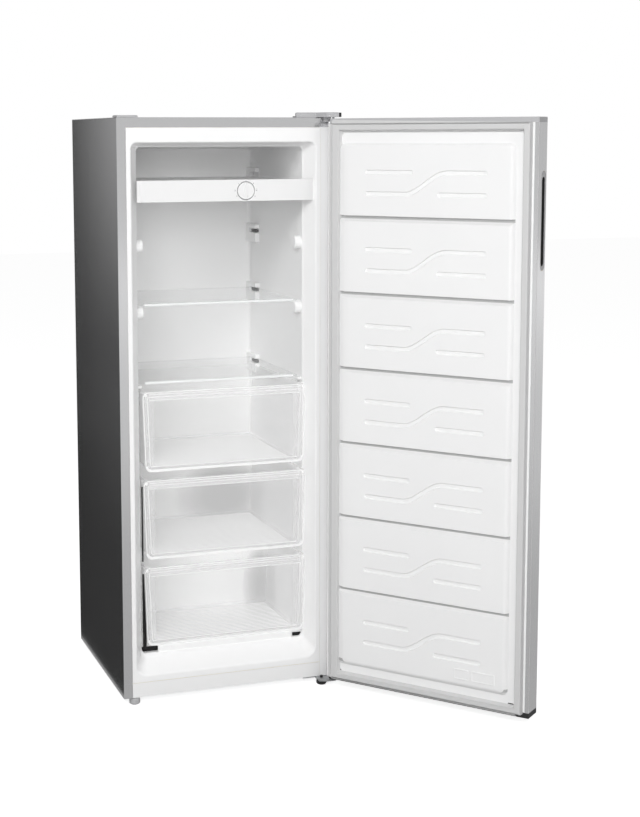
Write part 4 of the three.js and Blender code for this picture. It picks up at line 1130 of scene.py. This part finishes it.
# Two short level bars and one that sweeps from the low row up to the high one, in each panel.
LOW_ROW, HIGH_ROW = -33.5, 18.5
BAR_RUN = 116
HIGH_BAR, LOW_BAR = 110, 302
SWEEP = {"start": 111, "bend": 160, "rise": 210, "run": 110, "top": 370, "end": 418}
bars = []
for k in range(GROOVE["count"] + 1):
    panel_middle = GROOVE["first"] + GROOVE["pitch"] * (0.5 - k)
    low_row, high_row = panel_middle + LOW_ROW, panel_middle + HIGH_ROW
    for bar_start, row in ((HIGH_BAR, high_row), (LOW_BAR, low_row)):
        bars.append(sunk_bar([(field_x(bar_start + BAR_RUN * t), row) for t in (0, 0.5, 1)]))
    sweep = [(field_x(SWEEP["start"]), low_row), (field_x(SWEEP["bend"]), low_row)]
    for t in np.linspace(0, 1, 15):
        eased = t * t * (3 - 2 * t)
        sweep.append((field_x(SWEEP["rise"] + SWEEP["run"] * t), low_row + (high_row - low_row) * eased))
    sweep += [(field_x(SWEEP["top"]), high_row), (field_x(SWEEP["end"]), high_row)]
    bars.append(sunk_bar(sweep))
liner_body = carve(liner_body, joined(*bars))

# The plain raised plate, in two frames, and two small drain holes beside the seal.
PLATES = ((355, 392), (400, 460))
PLATE = {"low": 92.5, "high": 117.8, "rise": 1.8, "frame": 2.2}
plate_depth = (field_face - 1, field_face + PLATE["rise"])
for from_s, to_s in PLATES:
    x0, x1 = field_x(to_s), field_x(from_s)
    plate_height = (PLATE["low"], PLATE["high"])
    plate = block((x0, x1), plate_depth, plate_height, 0.5, "xyz", lambda m: m.y > field_face, 2)
    inner_width = (x0 + PLATE["frame"], x1 - PLATE["frame"])
    inner_height = (PLATE["low"] + PLATE["frame"], PLATE["high"] - PLATE["frame"])
    sunk = block(inner_width, (field_face + 0.3, field_face + 3), inner_height)
    liner_body = carve(liner_body, carve(plate, sunk), "UNION")
round_drain = (field_x(35), step_face, 53)
slot_drain = {"left": field_x(506), "right": field_x(491), "low": 51, "high": 54}
slot_width, slot_rise = (slot_drain["left"], slot_drain["right"]), (slot_drain["low"], slot_drain["high"])
notches = joined(
    rod(2.2, -6, 6, 20, "y", round_drain),
    block(slot_width, (step_face - 3.4, step_face + 2), slot_rise, 1.2, "y"),
)
liner_body = carve(liner_body, notches)
drains = joined(
    rod(2.1, -2.6, -0.6, 20, "y", round_drain),
    block(
        (slot_width[0] + 0.2, slot_width[1] - 0.2), (step_face - 2.6, step_face - 0.6),
        (slot_rise[0] + 0.2, slot_rise[1] - 0.2),
    ),
)
piece("door_drain_holes", drains, dark_fill_black, "door", "white_liner", place=DOOR_PLACE)

# Painted shade: the upper half of each groove, under its edge, is painted darker than the rest of the door
# liner, for the shade there.
SHADE = {"height": 8.2, "near": -0.0016, "far": -0.0096}
door_white = new_finish("door_polystyrene", (0.93, 0.93, 0.93), 0.36, Specular_IOR_Level=0.4)
door_grain = grain(door_white, 0.004, detail=3.0)
inward_way = DOOR_PLACE.to_3x3() @ Vector((0, 1, 0))
inward_way.normalize()
face_at = inward_way.dot(DOOR_PLACE @ Vector((0, field_face, 0)))
along_inward = {0: door_white.place, 1: inward_way}
depth = door_white.node("VectorMath", {"operation": "DOT_PRODUCT"}, along_inward, output="Value")
height_over_face = depth - face_at
door_up = door_white.places()[2]
top_edge = (DOOR_PLACE @ Vector((0, 0, GROOVE["first"] + 7))).z
panels_down = (top_edge - door_up) * (1000 / GROOVE["pitch"])
below_edge = panels_down.maths("FRACT", panels_down)
near_edge = below_edge < SHADE["height"] / GROOVE["pitch"]
groove_painted_shade = near_edge * (height_over_face < SHADE["near"]) * (height_over_face > SHADE["far"])
door_shade = door_white.blend(grain(door_white, 0.2), (0.905, 0.905, 0.905), (0.935, 0.935, 0.935))
# The painted shade turns the door liner grey in the grooves.
door_colour = door_white.blend(groove_painted_shade * 0.75, door_shade, (0.4, 0.4, 0.4))
door_white.coat(Base_Color=door_colour, Roughness=door_grain * 0.1 + 0.32)
relief(door_white, door_grain, 0.00005, 0.4)
piece("door_lining", liner_body, door_white, "door", "white_liner", "door_liner", place=DOOR_PLACE)

# ---- Door seal ----
# Soft pale vinyl, extruded and welded with mitred corners: a flange, a bellows and the flat bar that
# holds the magnet and meets the cabinet front.

seal_vinyl = textured("seal_vinyl", (0.66, 0.66, 0.66), 0.45, 0.003, 0.00008, 0.5, spread=0.15)
SEAL = {"half": DOOR_HALF - 6, "low": 22.5, "high": 1442}
SEAL_PROFILE = (
    (0.0, -0.9), (0.0, -0.3), (9.0, -0.3), (9.2, 4.0), (9.4, 9.0), (9.8, 12.6), (10.4, 15.2),
    (11.4, 16.4), (13.0, 16.7), (23.0, 16.7), (24.4, 16.4), (25.2, 15.2), (25.5, 12.6), (25.8, 10.8),
    (26.4, 9.6), (27.6, 7.6), (28.6, 5.0), (29.2, 2.5), (29.0, -0.9),
)
# On the hinge side its outer half is a thin fin beside a valley, which closes the gap to the cabinet.
HINGE_FIN = (
    (0.0, -0.9), (0.0, -0.3), (-0.6, 6.0), (-1.4, 11.0), (-1.9, 14.6), (-1.2, 15.4), (0.4, 14.2), (4.2, 9.0),
    (8.4, 16.7),
)


def seal_frame():
    """The profile's (inset, height) points run round the door, with mitred corners."""
    rings = []
    for side, at_top in ((-1, False), (1, False), (1, True), (-1, True)):
        ring = []
        for i, (inset, height) in enumerate(SEAL_PROFILE):
            inset_x, rise = HINGE_FIN[i] if side > 0 and i < len(HINGE_FIN) else (inset, height)
            z = SEAL["high"] - inset if at_top else SEAL["low"] + inset
            ring.append(Vector((side * (SEAL["half"] - inset_x), INNER + rise, z)))
        rings.append(ring)
    count = len(SEAL_PROFILE)
    faces = []
    for r in range(4):
        following = (r + 1) % 4
        for i in range(count):
            j = (i + 1) % count
            faces.append((r * count + i, r * count + j, following * count + j, following * count + i))
    return form([point for ring in rings for point in ring], faces)


seal = seal_frame()
piece("door_seal", seal, seal_vinyl, "door", "gasket_vinyl", "door_gasket", place=DOOR_PLACE, sharp=50)

# ---- Door end caps and grip ----
# A grey moulding at the top and a black one at the bottom that close the pan and carry the hinge bushes,
# and the grip, a plate with a deep slot let into the free edge, lined in black.

grey_plastic = textured("grey_moulding", (0.5, 0.5, 0.51), 0.4, 0.0014, 0.00004, 0.6, spread=0.12)
black_plastic = textured("black_moulding", (0.025, 0.025, 0.026), 0.5, 0.0014, 0.00004, 0.6)

BOSS_RADIUS, BORE_RADIUS = 8, 5.3
CAP_WALL = 3
cap_foot = DOOR_LOW - 1.5
# Height of each cap, of its hollow, and of its outer face.
CAPS = {
    "top": ((high_joint, DOOR_HIGH), (high_joint - 1, DOOR_HIGH - CAP_WALL), DOOR_HIGH),
    "bottom": ((cap_foot, low_joint), (DOOR_LOW + CAP_WALL, low_joint + 1), cap_foot),
}
CAP_FINISH = {"top": (grey_plastic, "grey_plastic"), "bottom": (black_plastic, "black_plastic")}
pivot_at = (PIVOT.x, PIVOT.y, 0)
for end, ((z0, z1), hollow_height, outer_z) in CAPS.items():
    cap = rounded(prism(skin_plan(0, INNER), z0, z1), 1.2, "xy", lambda m: abs(m.z - outer_z) < 0.1)
    cap = carve(cap, rod(BOSS_RADIUS, z0, z1, 48, "z", pivot_at), "UNION")
    cap = carve(cap, block((CAP_WALL - DOOR_HALF, 245), (OUTER + CAP_WALL, INNER - CAP_WALL), hollow_height))
    cap = carve(cap, rod(BORE_RADIUS, z0 - 5, z1 + 5, 48, "z", pivot_at))
    cap_finish, cap_slot = CAP_FINISH[end]
    piece(f"door_{end}_end", cap, cap_finish, "door", cap_slot, f"door_{end}_cap", place=DOOR_PLACE)
dress(black_plastic, "hinge_bush_top", "hinge_bush_bottom")

grip_mesh = carve(oblong(-0.3, GRIP, 0, 2.5, lead=0.7), oblong(2, SLOT, 2, SLOT_DEEP + 2), "UNION")
grip_mesh = carve(grip_mesh, oblong(0, SLOT, -1, SLOT_DEEP))
piece("grip_recess", grip_mesh, grey_plastic, "door", "grey_plastic", "door_grip", place=DOOR_PLACE)
lining = carve(oblong(-0.1, SLOT, 0.9, SLOT_DEEP - 0.1), oblong(-0.9, SLOT, 0.5, SLOT_DEEP - 1))
piece("grip_lining", lining, black_plastic, "door", "black_plastic", place=DOOR_PLACE)

# ---- Foam ----
# Rigid foam, blown in as a liquid, that fills the cabinet and the door. Only its edge shows, at the
# machine compartment.

FOAM_GAP = 0.3
foam = new_finish("rigid_foam", (0.85, 0.75, 0.45), 0.9)
foam_cells = grain(foam, 0.002)
foam.coat(Base_Color=foam.blend(foam_cells, (0.8, 0.69, 0.4), (0.88, 0.79, 0.5)))
relief(foam, foam_cells, 0.0003)
packed_foam = frame["nodes"]["insulation_foam"].data.copy()
packed_foam.transform(STAND.inverted())
welded = bmesh.new()
welded.from_mesh(packed_foam)
bmesh.ops.remove_doubles(welded, verts=welded.verts, dist=0.01)
welded.to_mesh(packed_foam)
welded.free()
liner_gap = LINER_WALL + FOAM_GAP
liner_room = carve(loft(cavity_rings(liner_gap)), behind_step(liner_gap))
piece("cabinet_foam_core", carve(packed_foam, liner_room), foam, "cabinet", "insulation", "insulation_foam")
core = prism(skin_plan(SHEET + FOAM_GAP, INNER - 2, 3.5), low_joint + 0.5, high_joint - 0.5)
raised = block((-214, 214), (INNER - 3, INNER + 3.5), (82, 1374))
core = carve(carve(core, raised, "UNION"), oblong(2.4, SLOT, -1, SLOT_DEEP + 2.4))
piece("door_foam_core", core, foam, "door", "insulation", "door_foam", place=DOOR_PLACE)

# ---- Hinges, covers and feet ----
# Zinc-plated plates with screws, a grey cover that snaps over the top hinge, a blank cover in the
# spare hinge place, and two levelling feet.

zinc = new_finish("zinc_plate", (0.55, 0.56, 0.57), 0.42, Metallic=0.9)
zinc_cloud = zinc.node("TexVoronoi", {}, {"Vector": zinc.place, "Scale": 90.0}, output="Distance")
zinc_colour = zinc.blend(zinc_cloud, (0.48, 0.49, 0.5), (0.62, 0.63, 0.64))
zinc.coat(Base_Color=zinc_colour, Roughness=zinc_cloud * 0.15 + 0.35)
dress(zinc, "back_panel", "base_plate", "machine_lining", "compressor_tray", "top_hinge", "lower_hinge")
dress(zinc, "thermostat", *(f"top_hinge_screw_{k}" for k in (1, 2, 3)))
dress(zinc, *(f"lower_hinge_screw_{k}" for k in (1, 2)))

# Screws along both edges of the back panel.
SCREWS = {"count": 6, "from_side": 12, "from_end": 20}
SCREW_PROFILE = [(0, 1.6), (2.2, 1.6), (3.6, 0.9), (4.1, 0), (4.1, -1), (0, -1)]
panel_low, panel_high = (STAND.inverted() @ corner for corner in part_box("back_panel"))
screw = lathe(SCREW_PROFILE, 24, "y")
screw_x, lowest_screw = panel_high.x - SCREWS["from_side"], panel_low.z + SCREWS["from_end"]
screw_step = (panel_high.z - panel_low.z - 2 * SCREWS["from_end"]) / (SCREWS["count"] - 1)
for name, side in (("left", -1), ("right", 1)):
    first_screw = (side * screw_x, panel_high.y, lowest_screw)
    screws = row_of(screw, SCREWS["count"], first_screw, (0, 0, screw_step), zinc)
    piece(f"back_panel_screws_{name}", screws, zinc, "cabinet", "zinc_steel")

COVER_PLAN = (
    (184, 2), (236, 2), (247, -33), (254, -41), (282, -41), (282, 2), (269, 2), (269, 60), (203, 60)
)
COVER_ROOM = (
    (186, 4), (237.5, 4), (249, -32.3), (255, -39), (280, -39), (280, 0), (267, 4), (267, 58), (205, 58)
)
COVER_HIGH, COVER_ROOM_HIGH = top + 12, top + 9.8
cover = rounded(prism(COVER_PLAN, top + 0.3, COVER_HIGH), 2.2, "xyz", lambda m: m.z > top + 2, 3)
cover = carve(cover, prism(COVER_ROOM, top - 1, COVER_ROOM_HIGH))
skirt = block((253, 271), (-13, -0.8), (DOOR_HIGH - 7.5, top + 3), 1, "z")
cover = carve(cover, skirt, "UNION")
# Painted shade: a black block on the cover's right end stands for the shade on that end face.
cover_shade_end = block((282.2, 287.6), (-41, -5), (top + 0.5, COVER_HIGH - 0.6), 1.2)
piece("hinge_cap_shade_end", cover_shade_end, black_plastic, "cabinet", "black_plastic")
piece("hinge_cap", cover, grey_plastic, "cabinet", "grey_plastic", "hinge_cover")

BLANK = {"middle": Vector((-242.5, 0, 0)), "half": 26.5, "front": 2, "back": 46}
BLANK_STATIONS = ((0.3, 0), (3.4, 0.6), (4.5, 1.2), (5, 2.4))
blank_rings = []
for rise, inset in BLANK_STATIONS:
    half_wide = BLANK["half"] - inset
    ring = floor_ring(top + rise, half_wide, half_wide, BLANK["front"] + inset, BLANK["back"] - inset, 3, 4)
    blank_rings.append([point + BLANK["middle"] for point in ring])
piece("spare_hinge_cap", loft(blank_rings), grey_plastic, "cabinet", "grey_plastic", "hinge_hole_cover")

DARK_FOOT = (
    (0, 0), (9.4, 0), (10.6, 0.5), (13, 3), (13.2, 4), (13.2, 9.4), (12.6, 10.6), (11, 12.5),
    (4, 12.5), (4, 22), (0, 22),
)
PALE_FOOT = (
    (0, 0), (9.4, 0), (10.6, 0.5), (13.4, 3), (13.6, 4), (13.6, 12), (13, 13.6), (11, 16.5),
    (4, 16.5), (4, 30), (0, 30),
)
dark_foot, pale_foot = lathe(DARK_FOOT, 48, "z", (250, -8, 0)), lathe(PALE_FOOT, 48, "z", (-240, 12, 0))
piece("right_levelling_foot", dark_foot, black_plastic, "right_foot", "black_plastic", "front_foot_right")
piece("left_levelling_foot", pale_foot, grey_plastic, "left_foot", "grey_plastic", "front_foot_left")

# ---- Machine compartment ----
# The compressor on its rubber mounts, the pipes, the drier, the relay cover and the mains inlet, all
# open to the back, with the coils of the circuit hidden in the foam.

enamel = textured("black_enamel", (0.02, 0.02, 0.021), 0.3, 0.01, 0.0002, 0.4)
dress(enamel, "compressor")
rubber = textured("black_rubber", (0.03, 0.03, 0.03), 0.8, 0.002, 0.0001)
dress(rubber, *(f"compressor_mount_{k}" for k in (1, 2, 3, 4)))
copper = new_finish("copper_tube", (0.72, 0.42, 0.28), 0.35, Metallic=0.95)
tarnish = grain(copper, 0.02)
copper_colour = copper.blend(tarnish, (0.62, 0.33, 0.2), (0.8, 0.5, 0.34))
copper.coat(Base_Color=copper_colour, Roughness=tarnish * 0.2 + 0.28)
dress(copper, "filter_drier", "discharge_pipe", "suction_pipe", "condenser_left", "condenser_right")
aluminium = new_finish("drawn_aluminium", (0.75, 0.76, 0.77), 0.4, Metallic=0.95)
aluminium.coat(Roughness=grain(aluminium, 0.01) * 0.2 + 0.3)
dress(aluminium, "evaporator_coil")
dress(black_plastic, "relay_cover", "mains_inlet", "rear_foot_left", "rear_foot_right")
